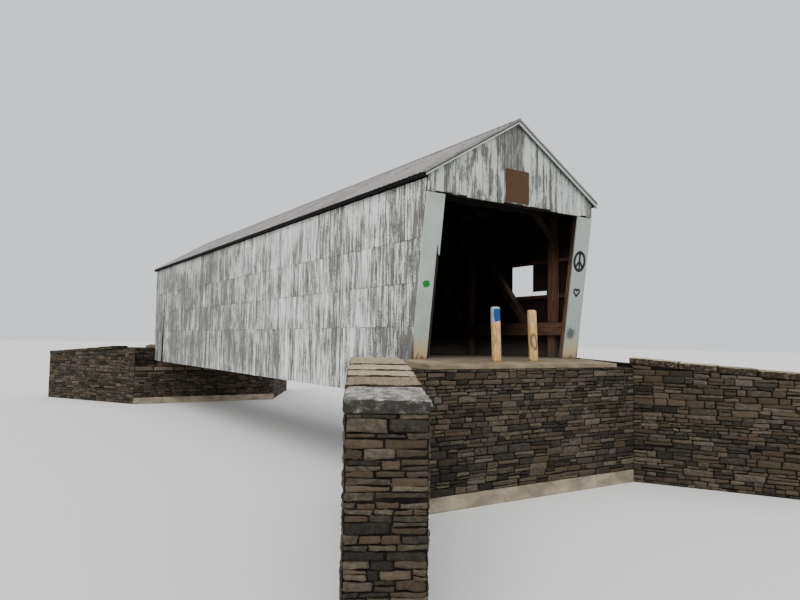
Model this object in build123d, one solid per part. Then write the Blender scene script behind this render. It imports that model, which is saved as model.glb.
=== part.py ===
from build123d import *
import os
from math import atan, cos, degrees, radians, sin

# A single-lane timber covered bridge between two stone abutments, in millimetres.
# X runs along the bridge from the near portal to the far one, +Y is the left side as one drives in,
# and Z = 0 is the underside of the foundations. Heights named "height" are above the floor.

# Overall form of the housing
base_length = 23256
bridge_width = 4900
opening_height = 3405
roof_rise = 1580
siding_drop = 831
near_lean = 477
far_lean = 188
eave_overhang = 120
rake_overhang = 82

# Boarding
siding_thickness = 25
casing_thickness = 30
casing_width = 460
wide_casing_width = 490
board_joint = 3
tier_heights = (643, 1558, 2467)
wall_top_drop = 67

# Strip broken off the inner edge of the near left casing, up to a slanting break
broken_width = 85
break_height = 2130
break_rise = 230

# Leaning end strip of the left wall and the slit that opened beside it, from the far portal foot
slit_inset = 1756
slit_width = 340
slit_height = 2000

# Boards missing from the third tier of the right wall, from the near portal foot
missing_start = 1500
missing_length = 800
short_board_length = 500
short_board_lift = 150

# Roof
sheet_thickness = 18
purlin_thickness = 38
purlin_width = 100
purlin_rows = 6
rafter_depth = 132
rafter_width = 60
rafter_pairs = 26
birdsmouth_depth = 45
rake_board_thickness = 25
rake_board_depth = 150
narrow_rake_board_depth = 94
rake_setback = 5
flashing_thickness = 3
flashing_leg = 45
eave_board_thickness = 25
eave_board_depth = 95
eave_setback = 10
apex_joint = 2
cap_thickness = 5
cap_leg = 170

# Trusses
girt_thickness = 90
girt_height = 90
top_girt_drop = 47
post_width = 200
end_post_inset = 578
heel_inset = 1300
panel_count = 8
chord_leaf = 100
chord_height = 550
chord_depth = 320
brace_depth = 180
lintel_depth = 129
top_chord_depth = 220
tie_beam_width = 180
tie_beam_depth = 200
knee_leg = 600
knee_depth = 120
knee_width = 120
stud_depth = 120
stud_width = 150

# Floor
deck_thickness = 60
deck_clearance = 20
stringer_depth = 150
stringer_width = 80
stringer_count = 5
stringer_spacing = 800
floor_beam_depth = 300
floor_beam_width = 200
bolster_depth = 320
bolster_length = 1540
bed_depth = 270
bed_width = 300
bed_insets = (250, 710)

# Masonry
footing_height = 300
footing_projection = 120
breast_height = 1500
breast_thickness = 950
seat_course_height = 200
seat_projection = 40
backwall_thickness = 1000
threshold_thickness = 170
threshold_drop = 20
threshold_fall = 0.08
threshold_overhang = 250
near_abutment_overhang = 840
far_abutment_overhang = 1100

# Wing walls, measured along the stream face from the abutment's corner
wing_angle = 29.5
wing_width = 940
wing_length = 6457
near_coping_rise = 157
far_coping_drop = 0
coping_fall = 0.07
coping_thickness = 165
coping_overhang = 45
coping_joint = 12
coping_start = 1584
coping_joints = (2688, 3540, 4317, 5288)

# Sign board and bollards
sign_width = 690
sign_height = 735
sign_thickness = 20
sign_lift = 57
bollard_diameter = 210
bollard_distance = 450
bollard_offset = 545
left_bollard_height = 1177
left_bollard_lean = 2.4
right_bollard_height = 1150
right_bollard_lean = 3.1
bollard_chamfer = 12

# Sizes that differ between the near end (-1) and the far end (1)
lean = {-1: near_lean, 1: far_lean}
abutment_overhang = {-1: near_abutment_overhang, 1: far_abutment_overhang}
coping_rise = {-1: near_coping_rise, 1: -far_coping_drop}

# Derived places across the bridge, from the outside of a wall inwards
half_length = base_length / 2
half_width = bridge_width / 2
wall_inner = half_width - siding_thickness
truss_outer = wall_inner - girt_thickness
truss_inner = truss_outer - post_width
chord_inner = truss_inner - chord_leaf

# The timbers of the floor start behind the leaning casings, which reach down to the threshold
foot_lean = max(near_lean, far_lean) * threshold_drop / opening_height
frame_inset = casing_thickness + foot_lean

# Derived levels, as heights above the floor
plate_bottom = opening_height + lintel_depth
plate_top = plate_bottom + top_chord_depth
tie_bottom = plate_top - tie_beam_depth
wall_height = plate_top - wall_top_drop
beam_top = -deck_thickness - stringer_depth
beam_bottom = beam_top - floor_beam_depth
bolster_bottom = beam_bottom - bolster_depth
seat_height = bolster_bottom - bed_depth
floor_level = footing_height + breast_height - seat_height

# Derived roof planes
roof_run = half_width + eave_overhang
roof_slope = roof_rise / roof_run
slope_angle = atan(roof_slope)
sheet_drop = sheet_thickness / cos(slope_angle)
purlin_drop = sheet_drop + purlin_thickness / cos(slope_angle)
rafter_drop = purlin_drop + rafter_depth / cos(slope_angle)
ridge_height = plate_top - birdsmouth_depth + rafter_drop + roof_slope * truss_outer
eave_board_inner = roof_run - eave_setback - eave_board_thickness


def level(height):
    """Z of a height above the floor."""
    return floor_level + height


def roof_height(y, drop=0):
    """Height of the roof surface at y, or of a plane below it."""
    return ridge_height - roof_slope * abs(y) - drop


def block(xs, ys, heights):
    """Box between two x, two y and two heights above the floor."""
    x, y, z = min(xs), min(ys), min(heights)
    size = (max(xs) - x, max(ys) - y, max(heights) - z)
    return Pos(x, y, level(z)) * Box(*size, align=(Align.MIN, Align.MIN, Align.MIN))


def across(outline, low, high):
    """Solid with an outline of (x, height) points, between two y."""
    face = make_face(Polyline(*[(x, low, level(h)) for x, h in outline], close=True))
    return extrude(face, amount=high - low, dir=(0, 1, 0))


def along(outline, low, high):
    """Solid with an outline of (y, height) points, between two x."""
    face = make_face(Polyline(*[(low, y, level(h)) for y, h in outline], close=True))
    return extrude(face, amount=high - low, dir=(1, 0, 0))


def upright(outline, low, high):
    """Solid with an outline of (x, y) points, between two heights."""
    face = make_face(Polyline(*[(x, y, level(low)) for x, y in outline], close=True))
    return extrude(face, amount=high - low, dir=(0, 0, 1))


def mirrored(pieces):
    """The same pieces on the right side."""
    return [mirror(piece, about=Plane.XZ) for piece in pieces]


def both_sides(pieces):
    """The pieces of the left side and their twins on the right."""
    return pieces + mirrored(pieces)


def from_foot(end, inset):
    """X of a point that lies inset from the foot of the near (-1) or far (1) portal."""
    return end * (half_length - inset)


def portal(end, height, inset=0):
    """X of the portal's leaning outer face at a height, or of a plane inset behind it."""
    rise = min(height, opening_height) / opening_height
    return end * (half_length + lean[end] * rise - inset)


def wall_end(end, low, high):
    """Outline points of a side wall's end behind the casing, from low to high."""
    heights = [low, high]
    if low < opening_height < high:
        heights.insert(1, opening_height)
    return [(portal(end, h, casing_thickness), h) for h in heights]


def strip(low, high):
    """Outline of the whole length of a side wall between two heights."""
    return wall_end(-1, low, high) + wall_end(1, low, high)[::-1]


def wall_tiers():
    """The tiers of boards of the left wall, butted at the girts."""
    heights = (-siding_drop, *tier_heights, wall_height)
    tiers = []
    for low, high in zip(heights, heights[1:]):
        bottom = low + board_joint / 2 if low > heights[0] else low
        top = high - board_joint / 2 if high < heights[-1] else high
        tiers.append(across(strip(bottom, top), wall_inner, half_width))
    return tiers


def slit():
    """The wedge that opened beside the leaning end strip, with the joint above it."""
    near_edge = from_foot(1, slit_inset)
    outline = [
        (near_edge, -siding_drop),
        (near_edge + slit_width, -siding_drop),
        (near_edge + board_joint, slit_height),
        (near_edge + board_joint, wall_height),
        (near_edge, wall_height),
    ]
    return across(outline, wall_inner, half_width)


def missing_boards():
    """The gap of the missing boards and the short board beside it, on the left side."""
    low, high = tier_heights[1], tier_heights[2]
    start = from_foot(-1, missing_start)
    short_start = start - short_board_length
    depth = (wall_inner, half_width)
    gap = block((start, start + missing_length), depth, (low, high))
    stub = block((short_start, start), depth, (low, low + short_board_lift))
    joint = block((short_start, short_start + board_joint), depth, (low, high))
    return gap + stub + joint


def siding():
    """Boards of both side walls."""
    tiers = wall_tiers()
    left = [tier - slit() for tier in tiers]
    right = [*tiers[:2], tiers[2] - missing_boards(), tiers[3]]
    return {"left_siding": left, "right_siding": mirrored(right)}


def girts():
    """Rails that the side boards are nailed to."""
    stud_back = casing_thickness + stud_depth
    rows = [beam_bottom + girt_height / 2, *tier_heights, wall_height - top_girt_drop - girt_height / 2]
    outer_leaf = (chord_height, chord_height + chord_depth)
    rails = []
    for centre in rows:
        low, high = centre - girt_height / 2, centre + girt_height / 2
        if low < outer_leaf[1] and high > outer_leaf[0]:
            continue
        inset = stud_back if centre < opening_height else casing_thickness
        xs = [portal(end, max(low, 0), inset) for end in (-1, 1)]
        rails.append(block(xs, (truss_outer, wall_inner), (low, high)))
    return both_sides(rails)


def lower_chord():
    """Two leaves that clasp the posts of the left truss, the outer one also a rail for the boards."""
    heights = (chord_height, chord_height + chord_depth)
    xs = [portal(end, chord_height, casing_thickness + stud_depth) for end in (-1, 1)]
    inner = block(xs, (chord_inner, truss_inner), heights)
    outer = block(xs, (truss_outer, wall_inner), heights)
    return [inner, outer]


def panel_points():
    """X of the truss posts between the two heels."""
    heel = half_length - heel_inset
    panel = 2 * heel / panel_count
    return [-heel + n * panel for n in range(1, panel_count)]


def end_posts_x():
    """X of the centres of the end posts."""
    return [from_foot(end, end_post_inset) for end in (-1, 1)]


def posts():
    """Posts of the left truss, from the floor beams to the top chord."""
    half, ys, heights = post_width / 2, (truss_inner, truss_outer), (beam_top, plate_bottom)
    return [block((x - half, x + half), ys, heights) for x in panel_points() + end_posts_x()]


def braces():
    """Braces of the left truss, which rise from the heels towards mid-span in each panel."""
    heel = half_length - heel_inset
    panel = 2 * heel / panel_count
    foot_height = chord_height + chord_depth / 2
    head_height = plate_bottom - brace_depth / 3
    rise = head_height - foot_height
    run = panel - post_width
    angle = atan(rise / run)
    near_half = []
    for n in range(panel_count // 2):
        foot = -heel + n * panel + post_width / 2
        middle = (foot + run / 2, level(foot_height + rise / 2))
        bar = Box(2 * panel, post_width, brace_depth)
        y = (truss_inner + truss_outer) / 2
        bar = Pos(middle[0], y, middle[1]) * Rot(Y=-degrees(angle)) * bar
        low_x = foot if n else foot - panel / 2
        room = block((low_x, foot + run), (truss_inner, truss_outer), (chord_height, plate_bottom))
        near_half.append(bar & room)
    return near_half + [mirror(piece, about=Plane.YZ) for piece in near_half]


def top_chord():
    """Top chord of the left truss, which runs from gable to gable and carries the rafters."""
    xs = [portal(end, opening_height, casing_thickness) for end in (-1, 1)]
    return block(xs, (truss_inner, truss_outer), (plate_bottom, plate_top))


def tie_beams():
    """Beams from top chord to top chord over the posts."""
    half = tie_beam_width / 2
    ys = (-truss_inner, truss_inner)
    places = sorted(panel_points() + end_posts_x())
    return [block((x - half, x + half), ys, (tie_bottom, plate_top)) for x in places]


def knee_braces():
    """Braces from the posts to the tie beams."""
    cut = knee_depth / cos(radians(45))
    outline = [
        (truss_inner, tie_bottom - knee_leg),
        (truss_inner, tie_bottom - knee_leg + cut),
        (truss_inner - knee_leg + cut, tie_bottom),
        (truss_inner - knee_leg, tie_bottom),
    ]
    half = knee_width / 2
    return both_sides([along(outline, x - half, x + half) for x in panel_points() + end_posts_x()])


def rafters():
    """Left rafters, notched over the top chord, their tails cut level over the boards."""
    notch_inner = truss_outer - birdsmouth_depth / roof_slope
    outline = [
        (0, roof_height(0, purlin_drop)),
        (eave_board_inner, roof_height(eave_board_inner, purlin_drop)),
        (eave_board_inner, wall_height),
        (wall_inner, wall_height),
        (wall_inner, roof_height(wall_inner, rafter_drop)),
        (truss_outer, roof_height(truss_outer, rafter_drop)),
        (truss_outer, plate_top),
        (notch_inner, plate_top),
        (0, roof_height(0, rafter_drop)),
    ]
    first, last = [portal(end, opening_height, casing_thickness) for end in (-1, 1)]
    spacing = (last - first - rafter_width) / (rafter_pairs - 1)
    starts = [first + n * spacing for n in range(rafter_pairs)]
    return [along(outline, x, x + rafter_width) for x in starts]


def roof_ends(setback):
    """X of both gable edges of the roof, set back towards the middle."""
    return [portal(end, opening_height, setback - rake_overhang) for end in (-1, 1)]


def purlins():
    """Boards along the left slope that the sheets are nailed to."""
    low_x, high_x = roof_ends(rake_setback + rake_board_thickness)
    width = purlin_width * cos(slope_angle)
    spacing = (wall_inner - width) / (purlin_rows - 1)
    boards = []
    for n in range(purlin_rows):
        inner = n * spacing if n else apex_joint
        outline = [
            (inner, roof_height(inner, purlin_drop)),
            (inner, roof_height(inner, sheet_drop)),
            (inner + width, roof_height(inner + width, sheet_drop)),
            (inner + width, roof_height(inner + width, purlin_drop)),
        ]
        boards.append(along(outline, low_x, high_x))
    return boards


def roof_sheet():
    """Metal roofing of the left slope as one slab as deep as its corrugations."""
    outline = [
        (0, roof_height(0)),
        (roof_run, roof_height(roof_run)),
        (roof_run, roof_height(roof_run, sheet_drop)),
        (0, roof_height(0, sheet_drop)),
    ]
    return along(outline, *roof_ends(flashing_thickness))


def ridge_cap():
    """Bent cap over the ridge joint."""
    low = roof_height(cap_leg)
    outline = [
        (-cap_leg, low),
        (0, roof_height(0)),
        (cap_leg, low),
        (cap_leg, low + cap_thickness),
        (0, roof_height(0) + cap_thickness),
        (-cap_leg, low + cap_thickness),
    ]
    return along(outline, *roof_ends(0))


def gable_strip(inner, outer, drop, depth, setbacks):
    """Strips under the left roof edges of both gables, some way down from the roof surface."""
    outline = [
        (inner, roof_height(inner, drop)),
        (outer, roof_height(outer, drop)),
        (outer, roof_height(outer, drop + depth)),
        (inner, roof_height(inner, drop + depth)),
    ]
    faces = zip(*[roof_ends(setback) for setback in setbacks])
    return [along(outline, min(pair), max(pair)) for pair in faces]


def rake_flashings():
    """Metal strips that cover the gable edges of the roofing."""
    strips = gable_strip(apex_joint / 2, roof_run, 0, flashing_leg, (0, flashing_thickness))
    return both_sides(strips)


def rake_boards():
    """Boards under the gable edges of the roofing, butted at the apex, a narrow one at the near left."""
    place = (apex_joint / 2, eave_board_inner, sheet_drop)
    setbacks = (rake_setback, rake_setback + rake_board_thickness)
    narrow, _ = gable_strip(*place, narrow_rake_board_depth, setbacks)
    near, far = gable_strip(*place, rake_board_depth, setbacks)
    return [narrow, far, *mirrored([near, far])]


def eave_board():
    """Board along the left eave, on the ends of the rafters."""
    outer = roof_run - eave_setback
    bottom = roof_height(outer, sheet_drop) - eave_board_depth
    outline = [
        (eave_board_inner, bottom),
        (eave_board_inner, roof_height(eave_board_inner, sheet_drop)),
        (outer, roof_height(outer, sheet_drop)),
        (outer, bottom),
    ]
    return along(outline, *roof_ends(rake_setback))


def gable(end):
    """Gable boards over the opening, up to the purlins."""
    outline = [
        (-half_width, opening_height),
        (half_width, opening_height),
        (half_width, roof_height(half_width, purlin_drop)),
        (0, roof_height(0, purlin_drop)),
        (-half_width, roof_height(half_width, purlin_drop)),
    ]
    faces = [portal(end, opening_height), portal(end, opening_height, casing_thickness)]
    return along(outline, min(faces), max(faces))


def lintel(end):
    """Timber behind the foot of the gable boards, between the side boards."""
    back = casing_thickness + stud_depth
    xs = [portal(end, opening_height, inset) for inset in (casing_thickness, back)]
    return block(xs, (-wall_inner, wall_inner), (opening_height, plate_bottom))


def leaning_member(end, insets, ys, foot=0):
    """Timber or board that leans out with the portal, from its foot to the lintel."""
    first, second = insets
    outline = [
        (portal(end, foot, first), foot),
        (portal(end, foot, second), foot),
        (portal(end, opening_height, second), opening_height),
        (portal(end, opening_height, first), opening_height),
    ]
    return across(outline, min(ys), max(ys))


def casing_edge(end, side):
    """Y of the inner edge of a casing, on the left (1) or the right (-1)."""
    width = wide_casing_width if (end, side) == (-1, -1) else casing_width
    return side * (half_width - width)


def broken_strip():
    """The strip that broke off the near left casing, with its slanting upper end."""
    inner = casing_edge(-1, 1)
    outer = inner + broken_width
    outline = [
        (inner, -threshold_drop),
        (outer, -threshold_drop),
        (outer, break_height + break_rise),
        (inner, break_height),
    ]
    return along(outline, portal(-1, opening_height), from_foot(-1, 2 * casing_thickness))


def portal_casings(end):
    """Wide boards that cover the ends of the side walls beside the opening, down to the threshold."""
    casings = []
    for side in (1, -1):
        ys = (casing_edge(end, side), side * half_width)
        casings.append(leaning_member(end, (0, casing_thickness), ys, -threshold_drop))
    if end < 0:
        casings[0] -= broken_strip()
    return casings


def portal_studs():
    """Leaning studs behind the casings, at the wall's corner and at the edge of the opening."""
    insets = (casing_thickness, casing_thickness + stud_depth)
    studs = []
    for end in (-1, 1):
        for side in (1, -1):
            corner, edge = side * wall_inner, casing_edge(end, side)
            for ys in ((corner - side * stud_width, corner), (edge, edge + side * stud_width)):
                studs.append(leaning_member(end, insets, ys))
    return studs


def portal_sills():
    """Sills under the studs, their tops flush with the deck."""
    ys, heights = (-wall_inner, wall_inner), (beam_top, 0)
    insets = (frame_inset, frame_inset + floor_beam_width)
    sills = []
    for end in (-1, 1):
        xs = [from_foot(end, inset) for inset in insets]
        sills.append(block(xs, ys, heights))
    return sills


def deck():
    """Floor planks between the trusses, from sill to sill."""
    xs = [from_foot(end, frame_inset + floor_beam_width) for end in (-1, 1)]
    edge = chord_inner - deck_clearance
    return block(xs, (-edge, edge), (-deck_thickness, 0))


def stringers():
    """Joists along the bridge under the planks."""
    xs = [from_foot(end, frame_inset + floor_beam_width) for end in (-1, 1)]
    first = -stringer_spacing * (stringer_count - 1) / 2
    lines = [first + n * stringer_spacing for n in range(stringer_count)]
    half = stringer_width / 2
    return [block(xs, (y - half, y + half), (beam_top, -deck_thickness)) for y in lines]


def floor_beams():
    """Cross beams under the sills, the end posts, the heels and the truss posts."""
    insets = (frame_inset + floor_beam_width / 2, end_post_inset, heel_inset)
    places = panel_points() + [from_foot(end, inset) for end in (-1, 1) for inset in insets]
    half, ys = floor_beam_width / 2, (-truss_outer, truss_outer)
    return [block((x - half, x + half), ys, (beam_bottom, beam_top)) for x in sorted(places)]


def bolsters():
    """Short timbers along the bridge that spread each truss's load over the bed timbers."""
    ys, heights = (chord_inner, truss_outer), (bolster_bottom, beam_bottom)
    pieces = []
    for end in (-1, 1):
        xs = [from_foot(end, inset) for inset in (frame_inset, frame_inset + bolster_length)]
        pieces.append(block(xs, ys, heights))
    return both_sides(pieces)


def bed_timbers():
    """Timbers across the masonry seats."""
    half, ys = bed_width / 2, (-truss_outer, truss_outer)
    places = [from_foot(end, inset) for end in (-1, 1) for inset in bed_insets]
    return [block((x - half, x + half), ys, (seat_height, bolster_bottom)) for x in places]


def abutment_half(end):
    """Half of an abutment's width."""
    return half_width + abutment_overhang[end]


def masonry_block(end, insets, heights):
    """Full-width block of an abutment between two insets from the portal foot."""
    half = abutment_half(end)
    return block([from_foot(end, inset) for inset in insets], (-half, half), heights)


def footing(end):
    """Concrete footing, which steps out under the breast wall."""
    insets = (-backwall_thickness, breast_thickness + footing_projection)
    bottom = -floor_level
    return masonry_block(end, insets, (bottom, bottom + footing_height))


def breast_wall(end):
    """Stone wall under the bridge seat, with a projecting top course."""
    top = seat_height
    wall = masonry_block(end, (0, breast_thickness), (top - breast_height, top))
    course = masonry_block(end, (0, breast_thickness + seat_projection), (top - seat_course_height, top))
    return wall + course


def backwall(end):
    """Stone wall behind the bridge's end, up to the threshold."""
    top = -threshold_drop - threshold_thickness
    return masonry_block(end, (-backwall_thickness, 0), (seat_height - breast_height, top))


def threshold_line(end):
    """Top line of a threshold as (x, height) points, falling away from the portal."""
    distances = (0, backwall_thickness)
    return [(from_foot(end, -d), -threshold_drop - threshold_fall * d) for d in distances]


def threshold(end):
    """Slab between the road and the bridge floor."""
    (inner_x, top), (outer_x, edge) = threshold_line(end)
    bottom = -threshold_drop - threshold_thickness
    outline = [(inner_x, top), (outer_x, edge), (outer_x, bottom), (inner_x, bottom)]
    half = half_width + threshold_overhang
    return across(outline, -half, half)


def wing_point(end, reach, offset):
    """Plan point at a reach along a left wing wall's stream face and an offset towards the road."""
    angle = radians(wing_angle)
    inset = breast_thickness - reach * cos(angle) - offset * sin(angle)
    y = abutment_half(end) + reach * sin(angle) - offset * cos(angle)
    return from_foot(end, inset), y


def coping_bed(end, reach):
    """Height of the underside of the coping at a reach along the wing wall."""
    return coping_rise[end] - coping_thickness - coping_fall * reach


def sloping_slab(end, reaches, offsets, thickness):
    """Slab on a left wing wall's sloping top."""
    (first, last), (stream, road) = reaches, offsets
    corners = [(first, stream), (last, stream), (last, road), (first, road)]
    points = [(*wing_point(end, r, t), level(coping_bed(end, r))) for r, t in corners]
    return extrude(make_face(Polyline(*points, close=True)), amount=thickness, dir=(0, 0, 1))


def wing_wall(end):
    """Left wing wall, flared from the abutment, with a sloping top."""
    root = (from_foot(end, breast_thickness - wing_width / sin(radians(wing_angle))), abutment_half(end))
    stream = [wing_point(end, reach, 0) for reach in (0, wing_length)]
    plan = [*stream, wing_point(end, wing_length, wing_width), root]
    body = upright(plan, -floor_level, coping_rise[end])
    margin = wing_width
    spare = (-wing_width - margin, wing_length + margin)
    above = sloping_slab(end, spare, (-margin, wing_width + margin), floor_level)
    return body - above


def coping(end):
    """Cap slabs of a left wing wall, lost beside the road and cut back at the abutment."""
    joints = (coping_start, *coping_joints, wing_length + coping_overhang)
    half = abutment_half(end)
    insets = (-wing_length, 2 * breast_thickness)
    xs = [from_foot(end, inset) for inset in insets]
    keep_out = block(xs, (0, half + coping_joint / 2), (-floor_level, wall_height))
    slabs = []
    for start, stop in zip(joints, joints[1:]):
        low = start + coping_joint / 2 if start > coping_start else start
        high = stop - coping_joint / 2 if stop < joints[-1] else stop
        offsets = (-coping_overhang, wing_width + coping_overhang)
        slabs.append(sloping_slab(end, (low, high), offsets, coping_thickness) - keep_out)
    return slabs


def sign_board():
    """Board on the near gable above the opening."""
    face = portal(-1, opening_height)
    half = sign_width / 2
    bottom = opening_height + sign_lift
    return block((face - sign_thickness, face), (-half, half), (bottom, bottom + sign_height))


def bollard(y, height, lean_angle):
    """Round timber post that leans to the left, cut to the slope of the near threshold."""
    radius = bollard_diameter / 2
    x = from_foot(-1, -bollard_distance)
    foot = -threshold_drop - threshold_fall * bollard_distance
    post = Cylinder(radius, height + radius, align=(Align.CENTER, Align.CENTER, Align.MIN))
    post = chamfer(post.edges().group_by(Axis.Z)[-1], bollard_chamfer)
    post = Pos(x, y, level(foot)) * Rot(X=-lean_angle) * Pos(0, 0, -radius) * post
    line = threshold_line(-1)
    outline = [*line, (line[1][0], 2 * height), (line[0][0], 2 * height)]
    return post & across(outline, y - height, y + height)


def bollards():
    """The two posts on the near threshold."""
    left = bollard(bollard_offset, left_bollard_height, left_bollard_lean)
    right = bollard(-bollard_offset, right_bollard_height, right_bollard_lean)
    return [left, right]


def nodes():
    """All pieces by name."""
    left_truss = {"lower_chord": lower_chord(), "posts": posts(), "braces": braces()}
    made = {
        "footings": [footing(end) for end in (-1, 1)],
        "thresholds": [threshold(end) for end in (-1, 1)],
        "bed_timbers": bed_timbers(),
        "bolsters": bolsters(),
        "floor_beams": floor_beams(),
        "stringers": stringers(),
        "deck": [deck()],
        "portal_sills": portal_sills(),
        "portal_studs": portal_studs(),
        "lintels": [lintel(end) for end in (-1, 1)],
        "top_chords": both_sides([top_chord()]),
        "tie_beams": tie_beams(),
        "knee_braces": knee_braces(),
        "left_rafters": rafters(),
        "right_rafters": mirrored(rafters()),
        "purlins": both_sides(purlins()),
        "left_roof": [roof_sheet()],
        "right_roof": mirrored([roof_sheet()]),
        "ridge_cap": [ridge_cap()],
        "rake_flashings": rake_flashings(),
        "rake_boards": rake_boards(),
        "eave_boards": both_sides([eave_board()]),
        "girts": girts(),
        "sign_board": [sign_board()],
        "bollards": bollards(),
    }
    for name, pieces in left_truss.items():
        made["left_" + name] = pieces
        made["right_" + name] = mirrored(pieces)
    for end, name in ((-1, "near"), (1, "far")):
        made[name + "_abutment"] = [breast_wall(end)]
        made[name + "_backwall"] = [backwall(end)]
        made[name + "_gable"] = [gable(end)]
        made[name + "_casings"] = portal_casings(end)
        made[name + "_left_wing_wall"] = [wing_wall(end)]
        made[name + "_right_wing_wall"] = mirrored([wing_wall(end)])
        made[name + "_copings"] = both_sides(coping(end))
    made.update(siding())
    return made


os.makedirs("parts", exist_ok=True)
for node_name, node_pieces in nodes().items():
    solids = [solid for piece in node_pieces for solid in piece.solids()]
    export_step(Compound(solids) if len(solids) > 1 else solids[0], f"parts/{node_name}.step")
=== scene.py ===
"""A timber covered bridge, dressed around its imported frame.

Run as a script it registers its operators, calls them in order and leaves the dressed bridge in the scene.
"""

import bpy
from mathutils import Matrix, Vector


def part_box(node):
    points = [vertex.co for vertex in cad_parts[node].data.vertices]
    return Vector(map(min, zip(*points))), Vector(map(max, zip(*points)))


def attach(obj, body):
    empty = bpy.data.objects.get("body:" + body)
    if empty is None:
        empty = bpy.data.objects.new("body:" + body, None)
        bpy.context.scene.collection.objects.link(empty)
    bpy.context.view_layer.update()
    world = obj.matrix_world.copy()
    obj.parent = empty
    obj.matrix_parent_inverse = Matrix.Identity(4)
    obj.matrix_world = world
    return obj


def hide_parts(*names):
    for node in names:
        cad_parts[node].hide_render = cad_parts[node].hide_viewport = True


bl_info = {
    "name": "Covered Bridge Dressing",
    "version": (1, 0, 0),
    "blender": (4, 5, 0),
    "location": "View3D > Sidebar > Bridge",
    "description": "Boards, stones, roofing and finishes of a timber covered bridge",
    "category": "Object",
}

import math
from functools import cached_property

import bmesh
import bpy
import numpy as np
from bpy.props import FloatProperty, FloatVectorProperty, IntProperty, PointerProperty
from bpy.types import Operator, Panel, PropertyGroup
from mathutils import Matrix, Vector

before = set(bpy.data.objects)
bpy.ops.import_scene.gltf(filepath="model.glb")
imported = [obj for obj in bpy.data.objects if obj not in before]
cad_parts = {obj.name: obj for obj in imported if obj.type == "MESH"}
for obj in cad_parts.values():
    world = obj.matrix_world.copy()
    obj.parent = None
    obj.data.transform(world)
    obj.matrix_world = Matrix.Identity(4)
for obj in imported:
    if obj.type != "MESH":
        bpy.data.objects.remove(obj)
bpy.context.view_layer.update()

# Levels and planes of the frame, in metres. A height is measured from the floor.
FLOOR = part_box("deck")[1].z
HALF_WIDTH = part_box("left_siding")[1].y
WALL_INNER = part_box("left_siding")[0].y
WALL_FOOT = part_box("left_siding")[0].z - FLOOR
WALL_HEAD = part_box("left_siding")[1].z - FLOOR
CASING_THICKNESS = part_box("near_gable")[1].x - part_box("near_gable")[0].x
CASING_WIDTH = 0.46
WIDE_CASING = 0.49
BROKEN_WIDTH = 0.085
BREAK_HEIGHTS = (2.13, 2.36)
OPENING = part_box("near_gable")[0].z - FLOOR
HALF_LENGTH = -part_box("near_backwall")[1].x
LEAN = {-1: -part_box("near_casings")[0].x - HALF_LENGTH, 1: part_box("far_casings")[1].x - HALF_LENGTH}
ROOF_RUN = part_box("left_roof")[1].y
ROOF_ENDS = (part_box("left_roof")[0].x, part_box("left_roof")[1].x)
ROOF_SLOPE = 1580 / 2570
ROOF_ANGLE = math.atan(ROOF_SLOPE)
SHEET_DEPTH = 0.018
GAUGE = 0.0008
PURLIN_DEPTH = 0.038
NAIL_ROWS = 0.47
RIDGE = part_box("left_roof")[1].z - FLOOR
RAKE_FOOT = RIDGE - ROOF_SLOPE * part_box("rake_boards")[1].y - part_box("rake_boards")[0].z + FLOOR

# Side walls: the tiers of boards, the slit by the far end and the gap in the right wall
TIERS = (WALL_FOOT, 0.643, 1.558, 2.467, WALL_HEAD)
GAP_TIER = 2
SLIT_X = HALF_LENGTH - 1.756
SLIT_WIDTH = 0.34
SLIT_HEIGHT = 2.0
SLIT_CLEAR = 0.003
GAP_X = (1.5 - HALF_LENGTH, 2.3 - HALF_LENGTH)
SHORT_BOARD_X = 1.0 - HALF_LENGTH
SHORT_BOARD_LIFT = 0.15

# Boards: the least widths of a board, of the strip's last one and of one with nails, the share of boards
# with their column's shade, a nail's distance from a board's end, how deep nails and strokes start, how
# far the casings stop short of the gable and the distance between their nails
NARROWEST = 0.07
NARROWEST_STRIP = 0.08
NAILED_WIDTH = 0.08
COLUMN_SHARE = 0.65
NAIL_EDGE = 0.035
SUNK = 0.001
CASING_SHORT = 0.016
CASING_NAILS = 0.61

# Masonry: insets from a portal's foot, and places along a wing wall's stream face
BREAST = 0.95
BACK = 1.0
ABUTMENT_HALF = {-1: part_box("near_abutment")[1].y, 1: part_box("far_abutment")[1].y}
FOOTING_TOP = 0.3
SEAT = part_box("near_abutment")[1].z
SEAT_COURSE = 0.2
SEAT_PROJECTION = 0.04
BACKWALL_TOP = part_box("near_backwall")[1].z
WING_ANGLE = math.radians(29.5)
WING_WIDTH = 0.94
WING_LENGTH = 6.457
COPING_FALL = 0.07
COPING_THICKNESS = 0.165
COPING_OVERHANG = 0.045
COPING_GAP = 0.012
COPING_STEP = 0.022
COPING_JOINTS = (1.584, 2.688, 3.54, 4.317, 5.288, WING_LENGTH + COPING_OVERHANG)
COPING_TOP = {-1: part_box("near_copings")[1].z, 1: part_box("far_copings")[1].z}
COPING_TOP = {end: top + COPING_FALL * COPING_JOINTS[0] for end, top in COPING_TOP.items()}
# Roughness of a cut cap slab and of the lone one at a wing's end, and their arrises' radii
CAP_JAG = (0.012, 0.02)
CAP_RADII = (np.array((0.012, 0.035, 0.02)), np.array((0.035, 0.055, 0.045)))

# Stones: the least course and stone, the share of tall courses' stones that are split, and one stone's
# grid lines, its rise at each, how deep its border lies and how far flat stones stand out
LEAST_COURSE = 0.05
LEAST_STONE = 0.045
SPLIT_COURSE = 0.11
SPLIT_SHARE = 0.4
STONE_LINES = np.array([0.0, 0.04, 0.14, 0.38, 0.62, 0.86, 0.96, 1.0])
STONE_RISE = np.array([0.0, 0.7, 0.96, 1.0, 1.0, 0.96, 0.7, 0.0])
STONE_BED = 0.006
FLAT_PROUD = 0.004

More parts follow.
